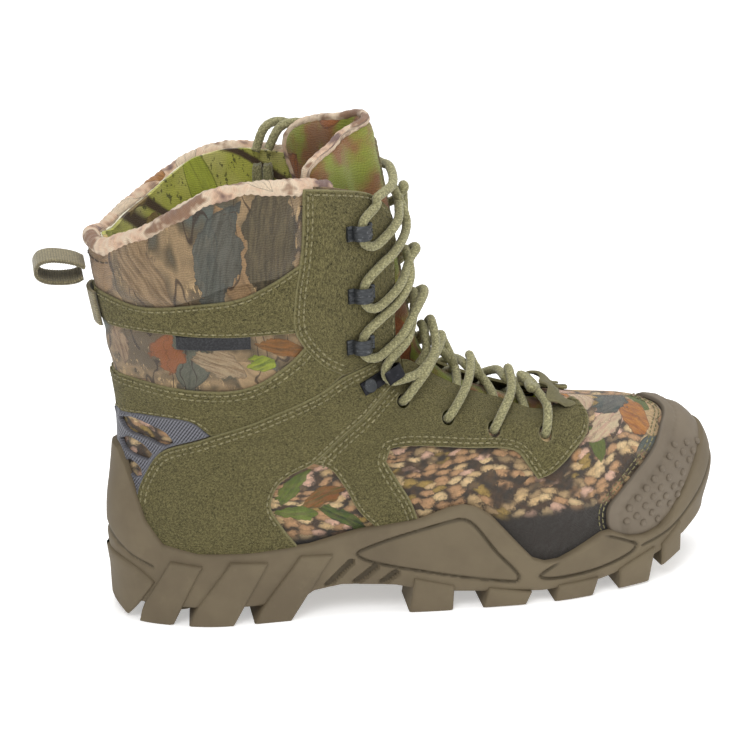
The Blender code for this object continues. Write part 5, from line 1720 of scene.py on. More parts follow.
@dataclass
class ToeCap:
    """The rubber cap over the toe, with a smooth rim, a groove and round bumps."""

    rim: float = 7.5
    bump: float = 1.85
    first: int = 10
    spacing: int = 6
    pitch: float = 6.6

    def edge_curve(self) -> Array:
        """The cap's rear edge from the inner side over the top to the outer side."""
        spots = np.array([(241, 26), (239, 36), (240, 44), (247, 51), (256, 59), (265, 66),
                          (273, 74.5), (276, 81)], float)
        t, phi = LAST.locate(spots[:, 0], spots[:, 1], INNER)
        half = np.column_stack([t, phi])
        top = [(LAST.locate(274.5, 84.5, INNER)[0][0], math.pi)]
        other = np.column_stack([t, 2 * math.pi - phi])[::-1]
        scale = np.array([190.0, 44.0])
        return curve_through(np.concatenate([half, top, other]) * scale, 1.5) / scale

    def build(self, wear: "Wardrobe") -> None:
        """Makes the cap with its bumps, and the row of thread behind it."""
        edge = self.edge_curve()
        turns = np.linspace(edge[-1][1], edge[0][1], 90)[1:-1]
        under_wall = np.full_like(turns, edge[0][0] - 0.02)
        loop = np.concatenate([edge, np.column_stack([under_wall, turns])])
        line = LAST.point(edge[:, 0], edge[:, 1])

        def rise(t: Array, phi: Array) -> Array:
            """The cap's outer surface with its rim and groove."""
            away = distance(LAST.point(t, phi), line, closed=False)
            return (2.5 + 0.5 * ease(1 - away / self.rim) - 1.0 * bell(away - self.rim, 0.7)
                    + 0.9 * ease((away - self.rim) / 6))

        t, phi, tris, gap = filled([loop], 1.9)
        top = rise(t, phi) - rounded(gap, 1.3, 1.6)
        # The edge value is the distance from the outline, so the rubber paints shade along the
        # cap's rim.
        body = layer("cap_body", t, phi, tris, np.full(len(t), 0.7), top, wear.toe, gap)
        meshes = [self.as_mesh(body)] + self.bumps(edge, rise)
        points, faces, flat = joined(meshes)
        settle(make_piece("toe_cap_rubber", points, faces, wear.toe, flat), "toe_rubber",
               ["toe_cap"])
        sewn = [Stitcher(2.4, 0.8, 0.36).row(*LAST.shift(*edge.T, self.backward(edge) * inset),
                                             0.35) for inset in (1.6, 3.6)]
        points, faces, flat = joined(sewn)
        settle(make_piece("toe_seam", points, faces, wear.thread, flat), "toe_rubber")

    @staticmethod
    def as_mesh(piece: bpy.types.Object) -> tuple[Array, Faces, Array]:
        """An object's mesh as points, faces and flat, and removes the object."""
        mesh = piece.data
        points = np.array([v.co for v in mesh.vertices]) / MM + ORIGIN
        faces = [list(f.vertices) for f in mesh.polygons]
        flat = np.empty(len(points) * 3, np.float32)
        mesh.attributes["flat"].data.foreach_get("vector", flat)
        bpy.data.objects.remove(piece)
        return points, faces, flat.reshape(-1, 3)

    @staticmethod
    def backward(edge: Array) -> Array:
        """The direction off the cap's rear edge, away from the toe."""
        p = LAST.point(*edge.T)
        d = np.gradient(p, axis=0)
        d /= np.linalg.norm(d, axis=1, keepdims=True)
        back = np.cross(LAST.normal(*edge.T), d)
        return back * np.where(back[:, 0] > 0, -1, 1)[:, None]

    def bumps(self, edge: Array, rise: Callable[[Array, Array], Array]) -> list[
            tuple[Array, Faces, Array]]:
        """Rows of round bumps, marched over the cap from its rear edge.

        Args:
            edge: The rear edge as t, phi rows.
            rise: The cap's outer surface.

        Returns:
            Their meshes.
        """
        p = LAST.point(*edge.T)
        run = np.concatenate([[0], np.cumsum(np.linalg.norm(np.diff(p, axis=0), axis=1))])
        way = -self.backward(edge)
        meshes, taken = [], np.full((1, 3), 999.0)
        for half in (0.0, 0.5):
            goal = np.arange(self.pitch * (0.4 + half), run[-1], self.pitch)
            t, phi = np.interp(goal, run, edge[:, 0]), np.interp(goal, run, edge[:, 1])
            ahead = np.column_stack([np.interp(goal, run, way[:, k]) for k in range(3)])
            for step in range(1, 48):
                n = LAST.normal(t, phi)
                ahead -= n * (ahead * n).sum(1)[:, None]
                ahead /= np.linalg.norm(ahead, axis=1, keepdims=True)
                t, phi = LAST.shift(t, phi, ahead)
                row = (step - self.first) / self.spacing - half
                if row < 0 or abs(row % 1.0) > 1e-6:
                    continue
                spots, outer = LAST.point(t, phi), rise(t, phi)
                for k, spot in enumerate(spots):
                    alone = np.linalg.norm(taken - spot, axis=1).min() > self.pitch * 0.78
                    on_side = Sole.top_height(spot[0]) + 1.0 < spot[2] < 66
                    if alone and on_side and t[k] > 0:
                        taken = np.vstack([taken, spot])
                        meshes.append(self.dome(t[k], phi[k], outer[k]))
        return meshes

    def dome(self, t: float, phi: float, off: float) -> tuple[Array, Faces, Array]:
        """One low round bump."""
        spot = LAST.at(np.array([t]), np.array([phi]), off - 0.25)[0]
        n = LAST.normal(np.array([t]), np.array([phi]))[0]
        a = np.cross(n, (0, 0, 1.0))
        a /= np.linalg.norm(a)
        b = np.cross(n, a)
        turn = np.arange(14) * 2 * math.pi / 14
        rings = [spot + (np.outer(np.cos(turn), a) + np.outer(np.sin(turn), b))
                 * self.bump * r + n * h for r, h in (
                     (1.0, -0.4), (0.95, 0.6), (0.8, 1.15), (0.52, 1.5), (0.2, 1.64))]
        points = np.concatenate(rings)
        faces = grid_faces(5, 14, True).tolist()
        faces += [list(range(14))[::-1], [56 + k for k in range(14)]]
        # Small edge values on the two lowest rings paint shade round the foot of each bump.
        flat = np.column_stack([points[:, 0], points[:, 2], np.repeat(
            [0.2, 0.6, 9, 9, 9], 14)])
        return points, faces, flat


# ---- the sole ------------------------------------------------------------------------

def feather(x: Array) -> Array:
    """The height of the edge that the upper is lasted over."""
    return 24.0 + 6.0 / 292.0 * (np.asarray(x, float) - 4.0)


@dataclass
class Sole:
    """The moulded cup sole: wall, sunk panels, slots, lugs and tread."""

    stations: int = 400
    rows: int = 62
    thick_top: float = 5.0
    thick_low: float = 6.7
    lug_rise: float = 1.7

    TOP = np.array([
        (4, 88), (7, 87), (9, 80), (12, 65), (15, 53), (22, 41), (38, 37), (66, 36),
        (91, 38), (116, 44), (145, 48), (159, 53), (166, 54), (173, 52), (180, 47),
        (194, 30), (200, 23), (206, 20.5), (213, 21), (221, 24.5), (235, 31.5), (240, 32),
        (249, 27), (258, 26), (266, 28), (273, 33), (282, 45), (290, 58), (297, 70)],
        float)
    BOTTOM = np.array([
        (-6, 24), (2, 12), (10, 9.5), (60, 8.5), (84, 9), (92, 14), (106, 16), (133, 14),
        (150, 10), (204, 5.5), (234, 7), (258, 12), (280, 19), (300, 30)], float)
    PANELS = (
        ((114, 32), (124, 36.5), (140, 41.5), (160, 46.8), (165, 47.4), (170, 45),
         (182, 29), (193, 14.6), (192, 12.2), (186, 12.6), (150, 20), (117, 29)),
        ((203, 13.6), (212, 20), (230, 30.6), (233, 31.4), (250, 24.4), (253, 22),
         (251, 19), (236, 14), (220, 12), (206, 12)))
    SLOTS = (((111, 28), (99, 17)), ((123, 24.5), (113, 17)), ((133, 21), (126, 16)))
    GROOVES = (((256, 21), (274, 27), (290, 40), (300, 54)),
               ((-3, 60), (0, 47), (8, 36), (18, 30)))
    LUGS = (
        ((-2, 36), (6, 33), (12, 29), (19, 22), (12, 9), (8, 2), (3, 8), (-1, 22)),
        ((26, 33.5), (40, 31.5), (26, 0), (12, 0), (14, 9)),
        ((52, 33), (70, 31.5), (52, 0), (33, 0), (36, 8)),
        ((86, 33.5), (102, 33), (80, 0), (62, 0), (66, 8)),
        ((142, 18), (161, 13), (160, 0), (139, 0)),
        ((178, 10.5), (199, 6.5), (196, 0), (175, 0)),
        ((212, 8.5), (232, 9.5), (229, 0), (210, 0)),
        ((243, 11), (262, 19), (259, 0.6), (243, 0.6)),
        ((266, 19), (277, 28), (277, 12), (266, 7)))

    @classmethod
    def top_height(cls, x: float) -> float:
        """The wall's top edge above the ground at a distance forward."""
        return float(np.interp(x, *cls.TOP.T))

    def spot(self, x: Array, z: Array, side: int) -> tuple[Array, Array]:
        """The place of a side-view point, also below the feather edge."""
        edge = feather(x)
        t, phi = LAST.locate(x, np.maximum(z, edge), side)
        return t + np.minimum(z - edge, 0) / 190, phi

    def heights(self, phi: Array, line: Array) -> Array:
        """The t at which a side-view line crosses each place round the sole."""
        share = (1 - np.cos(phi)) / 2
        t = np.full(len(phi), 0.1)
        for _ in range(40):
            rows = LAST.profile(np.maximum(t, 0))
            x = rows[:, 0] + (rows[:, 2] - rows[:, 0]) * share
            z = rows[:, 1] + (rows[:, 3] - rows[:, 1]) * share + np.minimum(t, 0) * 190
            t = t + 0.4 * (np.interp(x, *line.T) - z) / 190
        return t

    def relief(self, x: Array, z: Array) -> Array:
        """How far the wall stands out or in at side-view places.

        Args:
            x: Distances forward.
            z: Heights.

        Returns:
            The relief in mm.
        """
        spots = np.column_stack([x, z])
        out = np.zeros(len(x))
        for outline in self.PANELS:
            loop = curve_through(np.array(outline, float), 1.2, closed=True, corner=400)
            away = distance(spots, loop)
            out -= 1.5 * bell(away, 0.75)
            out -= 0.35 * inside(spots, loop)
        for slot in self.SLOTS:
            away = distance(spots, np.array(slot, float), closed=False)
            out -= 2.6 * ease((2.1 - away) / 0.9)
        for groove in self.GROOVES:
            line = curve_through(np.array(groove, float), 1.5)
            out -= 1.1 * bell(distance(spots, line, closed=False), 0.8)
        return out

    def build(self, wear: "Wardrobe") -> None:
        """Makes the wall and floor, the side lugs and the tread."""
        meshes = [self.wall(side) for side in (OUTER, INNER)]
        for side in (OUTER, INNER):
            meshes += [self.lug(outline, side) for outline in self.LUGS]
        meshes += self.tread()
        points, faces, flat = joined(meshes)
        points[:, 2] = np.maximum(points[:, 2], 0.0)
        settle(make_piece("cup_sole", points, faces, wear.sole, flat), "sole_rubber",
               ["outsole"])

    def wall(self, side: int) -> tuple[Array, Faces, Array]:
        """One half of the cup: outer wall, top lip, inner wall, and half the underside."""
        phi = side * np.linspace(0, math.pi, self.stations)
        top, low = self.heights(phi, self.TOP), self.heights(phi, self.BOTTOM)
        share = np.linspace(0, 1, self.rows)[:, None]
        share = share + 0.035 * np.sin(share * 2 * math.pi)
        t = low + (top - low) * share
        p = np.broadcast_to(phi, t.shape)
        thick = self.thick_low + (self.thick_top - self.thick_low) * ease(
            np.maximum(t, 0) / np.maximum(top, 0.03))
        down = (top - t) * 180
        up = (t - low) * 190
        thick = thick - rounded(down, 2.6, 2.4) - rounded(up, 2.2, 2.6)
        base = LAST.point(t.ravel(), p.ravel())
        carve = self.relief(base[:, 0], base[:, 2]).reshape(t.shape)
        carve = carve * ease(down / 3) * ease(up / 2.5)
        thick = thick + carve
        outer = LAST.at(t.ravel(), p.ravel(), thick.ravel())
        rings = [outer.reshape(self.rows, -1, 3)]
        for fall, off in ((0.0, 1.6), (3.0, 0.9), (12.0, 0.7)):
            inner_t = np.maximum(top - fall / 180, low + 0.004)
            rings.append(LAST.at(inner_t, phi, np.full(len(phi), off))[None])
        middle = LAST.point(low, phi)
        level = np.stack([middle[:, 0], np.full(len(phi), 4.0), middle[:, 2]], axis=1)
        under = [level + (outer.reshape(self.rows, -1, 3)[0] - level) * k
                 for k in np.linspace(0.0, 0.97, 12)]
        rings = np.concatenate([np.array(under), *rings])
        count = rings.shape[0]
        faces = grid_faces(count, self.stations)
        if side == OUTER:
            faces = faces[:, ::-1]
        edge = np.full(rings.shape[:2], 9.0)
        # Small edge values in the sunk panels, slots and grooves become painted shade in the
        # rubber.
        grooves = np.clip(1.1 + carve * 1.1, 0.0, 9.0)
        edge[12:12 + self.rows] = np.where(carve < -0.25, grooves, 9.0)
        points = rings.reshape(-1, 3)
        return points, faces.tolist(), np.column_stack([points[:, 0], points[:, 2],
                                                        edge.ravel()])

    def lug(self, outline: Points, side: int) -> tuple[Array, Faces, Array]:
        """One side lug as a solid block with a rounded outer face.

        Args:
            outline: Its outer face in side view.
            side: OUTER or INNER.

        Returns:
            Points, faces and flat coordinates.
        """
        loop = curve_through(np.array(outline, float), 1.4, closed=True, corner=20)
        low, high = loop.min(0), loop.max(0)
        grid = np.array([(x, z) for x in np.arange(low[0], high[0], 2.0)
                         for z in np.arange(low[1], high[1], 2.0)])
        d = np.roll(loop, -1, axis=0) - np.roll(loop, 1, axis=0)
        n = np.column_stack([-d[:, 1], d[:, 0]])
        n /= np.linalg.norm(n, axis=1, keepdims=True) + 1e-9
        rings = [loop + n * sign * r for r in (0.35, 1.0) for sign in (-1, 1)]
        grid = grid[distance(grid, loop) > 1.8]
        extra = np.concatenate([grid] + [ring[distance(ring, loop) > 0.3] for ring in rings])
        extra = extra[inside(extra, loop)]
        spots = np.concatenate([loop, extra])
        edges = [(k, (k + 1) % len(loop)) for k in range(len(loop))]
        out = delaunay_2d_cdt([Vector(s) for s in spots], edges, [], 0, 1e-4)
        flat2 = np.array([tuple(v) for v in out[0]])
        tris = np.array(out[2])
        tris = tris[inside(flat2[tris].mean(axis=1), loop)]
        away = distance(flat2, loop)
        t, phi = self.spot(flat2[:, 0], flat2[:, 1], side)
        lean = np.clip((flat2[:, 1] - feather(flat2[:, 0])) / 60, 0, 1)
        thick = self.thick_low + self.lug_rise - lean * 2.2 - rounded(away, 1.5, 1.5)
        face = LAST.at(t, phi, thick)
        face[:, 2] = np.where(flat2[:, 1] < 12, flat2[:, 1] * (face[:, 2] / np.maximum(
            flat2[:, 1], 0.1)).clip(0, 1), face[:, 2])
        back = LAST.at(t, phi, np.full(len(t), 1.5))
        back[:, 2] = face[:, 2]
        reach = ease((24 - flat2[:, 1]) / 12)
        back[:, 1] += (LAST.TOE_SWING * ease((flat2[:, 0] / 292 - 0.45) / 0.55)
                       - back[:, 1]) * 0.5 * reach
        count = len(flat2)
        points = np.concatenate([face, back])
        a, b, c = face[tris[:, 0]], face[tris[:, 1]], face[tris[:, 2]]
        if np.cross(b - a, c - a)[:, 1].sum() * side < 0:
            tris = tris[:, ::-1]
        faces = shell_faces(tris, count)
        flat = np.column_stack([points[:, 0], points[:, 2], np.full(2 * count, 9.0)])
        return points, faces, flat

    def tread(self) -> list[tuple[Array, Faces, Array]]:
        """The blocks down the middle of the tread and the smaller ones beside them."""
        blocks = []
        for x in (24, 44, 64, 158, 180, 202, 224, 246):
            middle = LAST.TOE_SWING * ease((x / 292 - 0.45) / 0.55)
            for shift in (-13, 13) if x > 100 else (-8, 8):
                blocks.append(self.block(x + 3, middle + shift, 7.0, 8.0))
        return blocks

    @staticmethod
    def block(x: float, y: float, half_x: float, half_y: float) -> tuple[
            Array, Faces, Array]:
        """One tread block with rounded corners, standing on the ground.

        Args:
            x: Its middle, forward.
            y: Its middle, across.
            half_x: Half its length.
            half_y: Half its width.

        Returns:
            Points, faces and flat coordinates.
        """
        turn = np.arange(32) * math.pi / 16 + math.pi / 32
        c, s = np.cos(turn), np.sin(turn)
        shape = np.column_stack([np.sign(c) * np.abs(c) ** 0.35 * half_x,
                                 np.sign(s) * np.abs(s) ** 0.35 * half_y])
        rings = [np.column_stack([x + shape[:, 0] * k, y + shape[:, 1] * k,
                                  np.full(32, z)])
                 for k, z in ((1.12, 14.0), (1.0, 1.6), (0.97, 0.5), (0.9, 0.0),
                              (0.4, 0.0))]
        points = np.concatenate(rings)
        faces = grid_faces(5, 32, True)[:, ::-1].tolist()
        faces += [list(range(32)), [128 + k for k in range(32)][::-1]]
        return points, faces, np.column_stack([points[:, 0], points[:, 1],
                                               np.full(len(points), NO_EDGE)])


# ---- the tongue ----------------------------------------------------------------------

@dataclass
class Tongue:
    """The padded tongue, its corded edge and the strip down its front."""

    hinge: tuple[float, float] = (138.4, 218.0)
    fold: float = 5.0
    cord: float = 2.2

    @staticmethod
    def from_front(phi: Array) -> Array:
        """How far places are from the front centreline, in radians."""
        return np.abs(np.abs((phi + math.pi) % (2 * math.pi) - math.pi) - math.pi)

    def middle(self, t: Array, phi: Array) -> tuple[Array, Array]:
        """The pad's middle distance from the last and half its thickness."""
        k = ease((self.from_front(phi) - 0.12) / 0.42)
        crown = -1.2 - 3.2 * (1 - ease((t - 0.60) / 0.12))
        outer = crown + (-10.4 - crown) * k
        padding = 4.0 + 2.6 * ease((t - 0.6) / 0.2)
        return outer - padding / 2, padding / 2

    def outline(self) -> Array:
        """The pad's outline, narrow at the toe end and wide at the top."""
        split = LAST.locate(*self.hinge)[0][0]
        half = [(0.415, 0.50), (0.55, 0.70), (0.70, 0.85), (0.85, 0.95), (0.95, 1.02),
                (split + 0.006, 1.05), (split + 0.020, 0.98), (split + 0.037, 0.7),
                (split + 0.052, 0.35), (split + 0.059, 0.0)]
        high = half[:5] + [(split + 0.020, 1.06), (split + 0.040, 0.96),
                           (split + 0.052, 0.74), (split + 0.057, 0.4),
                           (split + 0.059, 0.0)]
        left = [(t, math.pi - p) for t, p in high]
        right = [(t, math.pi + p) for t, p in half[-2::-1]]
        scale = np.array([190.0, 34.0])
        return curve_through(np.array(left + right) * scale, 1.5, closed=True) / scale

    def build(self, wear: "Wardrobe") -> None:
        """Makes the pad, its edge and its strip."""
        loop = self.outline()
        t, phi, tris, edge = filled([loop], 2.6, (0.5, 1.3, 2.6))
        mid, half = self.middle(t, phi)
        x, y, z = LAST.point(t, phi).T
        puff = half * np.sqrt(1 - (1 - np.clip(edge / 5.0, 0, 1)) ** 2 * 0.96)
        wave = 0.5 * ripple(x * 1.5 + y, z * 1.1, 8.0)
        pad = layer("tongue_pad", t, phi, tris, mid - puff * 1.15 + wave * 0.6,
                    mid + puff + wave * ease(edge / 5), wear.cloths[Print.TONGUE], edge)
        self.bend(pad, "tongue_fabric", ["tongue_lower", "tongue_top"])
        first = int(np.argmin(loop[:, 0]))
        high = np.roll(loop, -first, axis=0)
        high = high[high[:, 0] > 0.84]
        middle, _ = self.middle(high[:, 0], high[:, 1])
        path = even(LAST.at(high[:, 0], high[:, 1], middle + 0.8), 1.0)

        def pulls(s: Array, w: Array) -> Array:
            """Fine gathers in the edge's cloth."""
            return 0.12 * np.sin(s * 1.4) + 0.1 * np.sin(s * 0.5 + w)

        points, faces, flat = tube_mesh(path, self.cord, 14, pulls)
        flat[:, 2] = NO_EDGE
        self.bend(make_piece("tongue_edge", points, faces, wear.piping, flat),
                  "tongue_fabric")
        self.strip(wear)

    def strip(self, wear: "Wardrobe") -> None:
        """The ribbed strip down the middle of the tongue's front."""
        split = LAST.locate(*self.hinge)[0][0]
        rows, columns = 420, 13
        t = np.linspace(0.70, split + 0.028, rows)
        across = np.linspace(-0.105, 0.105, columns)
        grid_t = np.repeat(t, columns)
        grid_p = math.pi + np.tile(across, rows)
        rib = 0.18 * np.abs(np.sin(grid_t * 190 * math.pi / 1.5))
        mid, half = self.middle(grid_t, grid_p)
        lift = mid + half + 0.7
        piece = layer("tongue_front_strip", grid_t, grid_p, grid_faces(rows, columns),
                      lift - 1.3, lift + rib, wear.webbing, rib * 5 + 0.1)
        self.bend(piece, "webbing", ["tongue_strip"])

    def bend(self, piece: bpy.types.Object, slot: str,
             nodes: Sequence[str] = ()) -> bpy.types.Object:
        """Hides the frame's nodes that a piece stands for and bakes its transform, leaving it
        without a body.
        """
        x, z = self.hinge
        ends = [tuple(place([x, 0, z + k])) for k in (-self.fold, self.fold)]
        settle(piece, slot, nodes, None)
        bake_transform(piece)
        return piece


# ---- the lace ------------------------------------------------------------------------

@dataclass
class Lacing:
    """The round lace, threaded from the toe to the top on both sides."""

    diameter: float = 4.5
    over: float = 5.05
    under: float = -2.4
    hook: tuple[float, float] = (123, 114.5)
    tilt: float = math.radians(24)
    reach: float = 13.5

    LOOPS = ((120, 191), (120, 161), (119, 136))
    EMERGES = (((205, 89.4), (0.35, 0.94)), ((190, 95.9), (0.40, 0.92)),
               ((171, 103.6), (0.50, 0.87)), ((152, 116.2), (0.61, 0.79)))
    RIDGES = (98, 107, 121, 131, 149, 171, 202)
    RIDGE_UNDER, RIDGE_OVER = 3.6, 8.6

    @staticmethod
    def on_ridge(z: float) -> float:
        """The t at which the front centreline has a height."""
        fine = np.linspace(0.35, 1.1, 200)
        return float(np.interp(z, LAST.profile(fine)[:, 3], fine))

    @staticmethod
    def beside(stops: Iterable[tuple[float, float, float]], side: int) -> list[Array]:
        """Side-view stops, with their distance off the last, as points."""
        x, z, off = np.array(list(stops), float).T
        return list(LAST.at(*LAST.locate(x, z, side), off))

    def across_ridge(self, z: float, arriving: int) -> list[Array]:
        """Two stops over the tongue; the strand that arrives outside lies on top."""
        rise = self.RIDGE_OVER if arriving < 0 else self.RIDGE_UNDER
        t = self.on_ridge(z)
        return [LAST.at(np.array([t]), np.array([math.pi + 0.05 * arriving * k]),
                        np.array([rise]))[0] for k in (1, -1)]

    def into_hole(self, x: float, z: float) -> list[tuple[float, float, float]]:
        """Stops down onto a stay and in through its hole."""
        return [(x + 10.8, z + 9.9, self.over + 1.3), (x + 2.8, z + 2.6, self.over + 0.2),
                (x + 0.4, z + 0.4, 3.4), (x, z, 1.5), (x + 0.2, z, -0.9),
                (x + 2.4, z + 1.0, self.under)]

    def up_through(self, x: float, z: float) -> list[tuple[float, float, float]]:
        """Stops in over the stay's edge, up through a loop and out again."""
        off = self.over + 0.2
        return [(146, z + 8.0, 5.6), (138.8, z - 0.5, 5.5), (131.5, z - 5.6, 5.3),
                (125.5, z - 8.0, off), (x + 0.9, z - 5.2, off), (x, z, off),
                (x + 0.9, z + 5.2, off), (128, z + 11.5, off + 0.2),
                (136.5, z + 16.5, 6.0), (143.5, z + 25, 6.2)]

    def round_hook(self) -> list[tuple[float, float, float]]:
        """Stops round the fold of the tilted hook, from below to above."""
        along, across = math.cos(self.tilt), math.sin(self.tilt)
        stops = [(156, 121, 6.6), (147.5, 114.4, 6.1)]
        for reach, rise, off in ((self.reach, -6.8, 6.7), (8.6, -4.0, 6.8), (7.2, 0, 6.8),
                                 (8.6, 4.0, 6.8), (self.reach, 6.8, 6.7)):
            stops.append((self.hook[0] + reach * along - rise * across,
                          self.hook[1] + reach * across + rise * along, off))
        return stops + [(141.5, 132.5, 5.9)]

    def strand(self, side: int) -> list[Array]:
        """One half of the lace, from the hole under the tab up to the top loop."""
        goals = [self.into_hole(*hole) for hole in reversed(LACE_HOLES[:3])]
        goals += [self.round_hook()] + [self.up_through(*spot)
                                        for spot in reversed(self.LOOPS)]
        x, z = LACE_HOLES[3]
        stops = self.beside([(x + 2.6, z + 7.5, self.over + 0.8),
                             (x + 0.6, z + 2.0, self.over - 0.4), (x, z, 2.0),
                             (x, z, -0.9), (x - 2.2, z + 1.6, self.under)], side)
        for level, goal in enumerate(goals):
            if level < len(self.EMERGES):
                spot, way = self.EMERGES[level]
                stops += self.beside([
                    (spot[0] + way[0] * s, spot[1] + way[1] * s, off)
                    for s, off in ((-5.0, self.under), (1.8, -2.4), (6.8, 0.7))], side)
            side = -side
            stops += self.across_ridge(self.RIDGES[level], side)
            stops += self.beside(goal, side)
        return stops

    def route(self) -> Array:
        """The whole lace's middle line, from one tucked end to the other."""
        t = self.on_ridge(93)
        bar = [LAST.at(np.array([t]), np.array([math.pi + d]), np.array([off]))[0]
               for d, off in ((-0.34, 5.8), (-0.16, 3.6), (0.0, 2.2), (0.16, 3.6),
                              (0.34, 5.8))]
        inner_end = [(115, 214, 5.8), (106, 223, 5.0), (97, 230.5, 0.4), (90, 230, -8.5),
                     (84.5, 218, -13.6)]
        across = [(136, 212.5, 5.0), (128, 219, 5.2), (117, 227, 2.6), (107, 231, -2.4),
                  (98, 230.5, -9.6), (91.5, 219, -13.6)]
        stops = self.beside(reversed(inner_end), INNER)
        stops += list(reversed(self.strand(OUTER)[:-2])) + bar + self.strand(INNER)[:-2]
        stops += self.beside([(127, 204.5, 5.6), (137, 208, 5.2)], OUTER)
        ridge = self.on_ridge(213)
        stops += [LAST.at(np.array([ridge]), np.array([math.pi]),
                          np.array([self.RIDGE_UNDER]))[0]]
        stops += self.beside(across, INNER)
        path = even(curve_through(np.array(stops), 0.4, corner=400), 0.42)
        window = np.hanning(17)
        soft = np.column_stack([np.convolve(np.pad(path[:, k], 8, "edge"),
                                            window / window.sum(), "valid")
                                for k in range(3)])
        return even(soft, 0.42)

    def braid(self, s: Array, w: Array) -> Array:
        """Sixteen yarns that pass over and under each other round the lace."""
        lead = 2 * math.pi / 15.0
        a, b = s * lead + w, s * lead - w
        first, second = np.sin(4 * a), np.sin(4 * b)
        return 0.4 * np.maximum(np.abs(first) * (0.7 + 0.3 * np.sin(4 * b)),
                                np.abs(second) * (0.7 - 0.3 * np.sin(4 * a))) - 0.3

    def build(self, wear: "Wardrobe") -> None:
        """Makes the lace and the folded bundle of its two ends."""
        path = self.route()
        size = float(np.linalg.norm(np.diff(path, axis=0), axis=1).sum())
        LOG.info("lace length %.0f mm", size)
        points, faces, flat = tube_mesh(path, self.diameter / 2, 22, self.braid)
        settle(make_piece("lace_braid", points, faces, wear.lace, flat), "lace_cord",
               ["lace"])
        self.bundle(wear)

    def bundle(self, wear: "Wardrobe") -> None:
        """The ends, folded three times and tucked behind the inner rim."""
        t, phi = LAST.locate(88, 203, INNER)
        origin, out = LAST.at(t, phi, np.array([-14.0]))[0], LAST.normal(t, phi)[0]
        forward = np.array([1.0, 0, 0]) - out * out[0]
        forward /= np.linalg.norm(forward)
        up = np.cross(forward, out)
        up *= 1 if up[2] > 0 else -1
        meshes = []
        for depth in (-1.8, 1.9):
            for k in (-1, 1):
                line = [(k * 3.6 + 1.2 * math.sin(a), 8.6 * math.cos(a))
                        for a in np.linspace(0, 2 * math.pi, 40)[:-1]]
                path = np.array([origin + forward * (x * 0.6 + k * 0.4) + up * z
                                 + out * depth for x, z in line])
                meshes.append(tube_mesh(even(path, 0.6), 1.9, 16, self.braid))
        points, faces, flat = joined(meshes)
        settle(make_piece("lace_ends", points, faces, wear.lace, flat), "lace_cord",
               ["lace_hank"])


# ---- hardware and small trim -------------------------------------------------------------

def beside_frame(x: float, z: float, side: int, off: float) -> tuple[Array, ...]:
    """An origin on the boot's side and its forward, upward and outward directions."""
    t, phi = LAST.locate(x, z, side)
    origin, out = LAST.at(t, phi, np.array([off]))[0], LAST.normal(t, phi)[0]
    forward = np.array([1.0, 0, 0]) - out * out[0]
    forward /= np.linalg.norm(forward)
    up = np.cross(forward, out)
    return origin, forward, up * (1 if up[2] > 0 else -1), out


def swept_strip(axes: tuple[Array, ...], path: Array, thick: float, half: float,
                relief: Callable[[Array, Array], Array], across: int = 17) -> tuple[
                    Array, Faces, Array]:
    """A strip swept along a path of forward and outward distances.

    Args:
        axes: Origin, forward, up and outward.
        path: Its middle line.
        thick: Its thickness.
        half: Half its height.
        relief: Adds to its outer side, from mm along and the share across (-1 to 1).
        across: How many points lie across it.

    Returns:
        Points, faces and flat coordinates.
    """
    origin, forward, up, out = axes
    d = np.gradient(path, axis=0)
    d /= np.linalg.norm(d, axis=1, keepdims=True)
    n = np.column_stack([-d[:, 1], d[:, 0]])
    run = np.concatenate([[0], np.cumsum(np.linalg.norm(np.diff(path, axis=0), axis=1))])
    share = np.linspace(-1, 1, across)
    s, k = np.meshgrid(run, share, indexing="ij")
    edge = (1 - np.abs(k)) * half
    soft = rounded(edge, thick * 0.45, thick * 0.5)
    skins = []
    for sign in (1, -1):
        lift = sign * (thick / 2 - soft) + (relief(s, k) if sign > 0 else 0)
        flat = path[:, None, :] + n[:, None, :] * lift[..., None]
        skins.append((origin + flat[..., :1] * forward + flat[..., 1:] * out
                      + (k * half)[..., None] * up).reshape(-1, 3))
    points = np.concatenate(skins)
    faces = grid_faces(len(path), across)
    a, b, c = (skins[0][faces[:, i]] for i in range(3))
    normal = np.cross(b - a, c - a)
    want = np.broadcast_to(n[:, None, :1] * forward + n[:, None, 1:] * out, (*k.shape, 3))
    if (normal * want.reshape(-1, 3)[faces[:, 0]]).sum() < 0:
        faces = faces[:, ::-1]
    lift = relief(s, k).ravel()
    flat = np.column_stack([s.ravel(), (k * half).ravel(), lift * 3 + 0.1])
    return points, shell_faces(faces, len(skins[0])), np.concatenate([flat, flat])


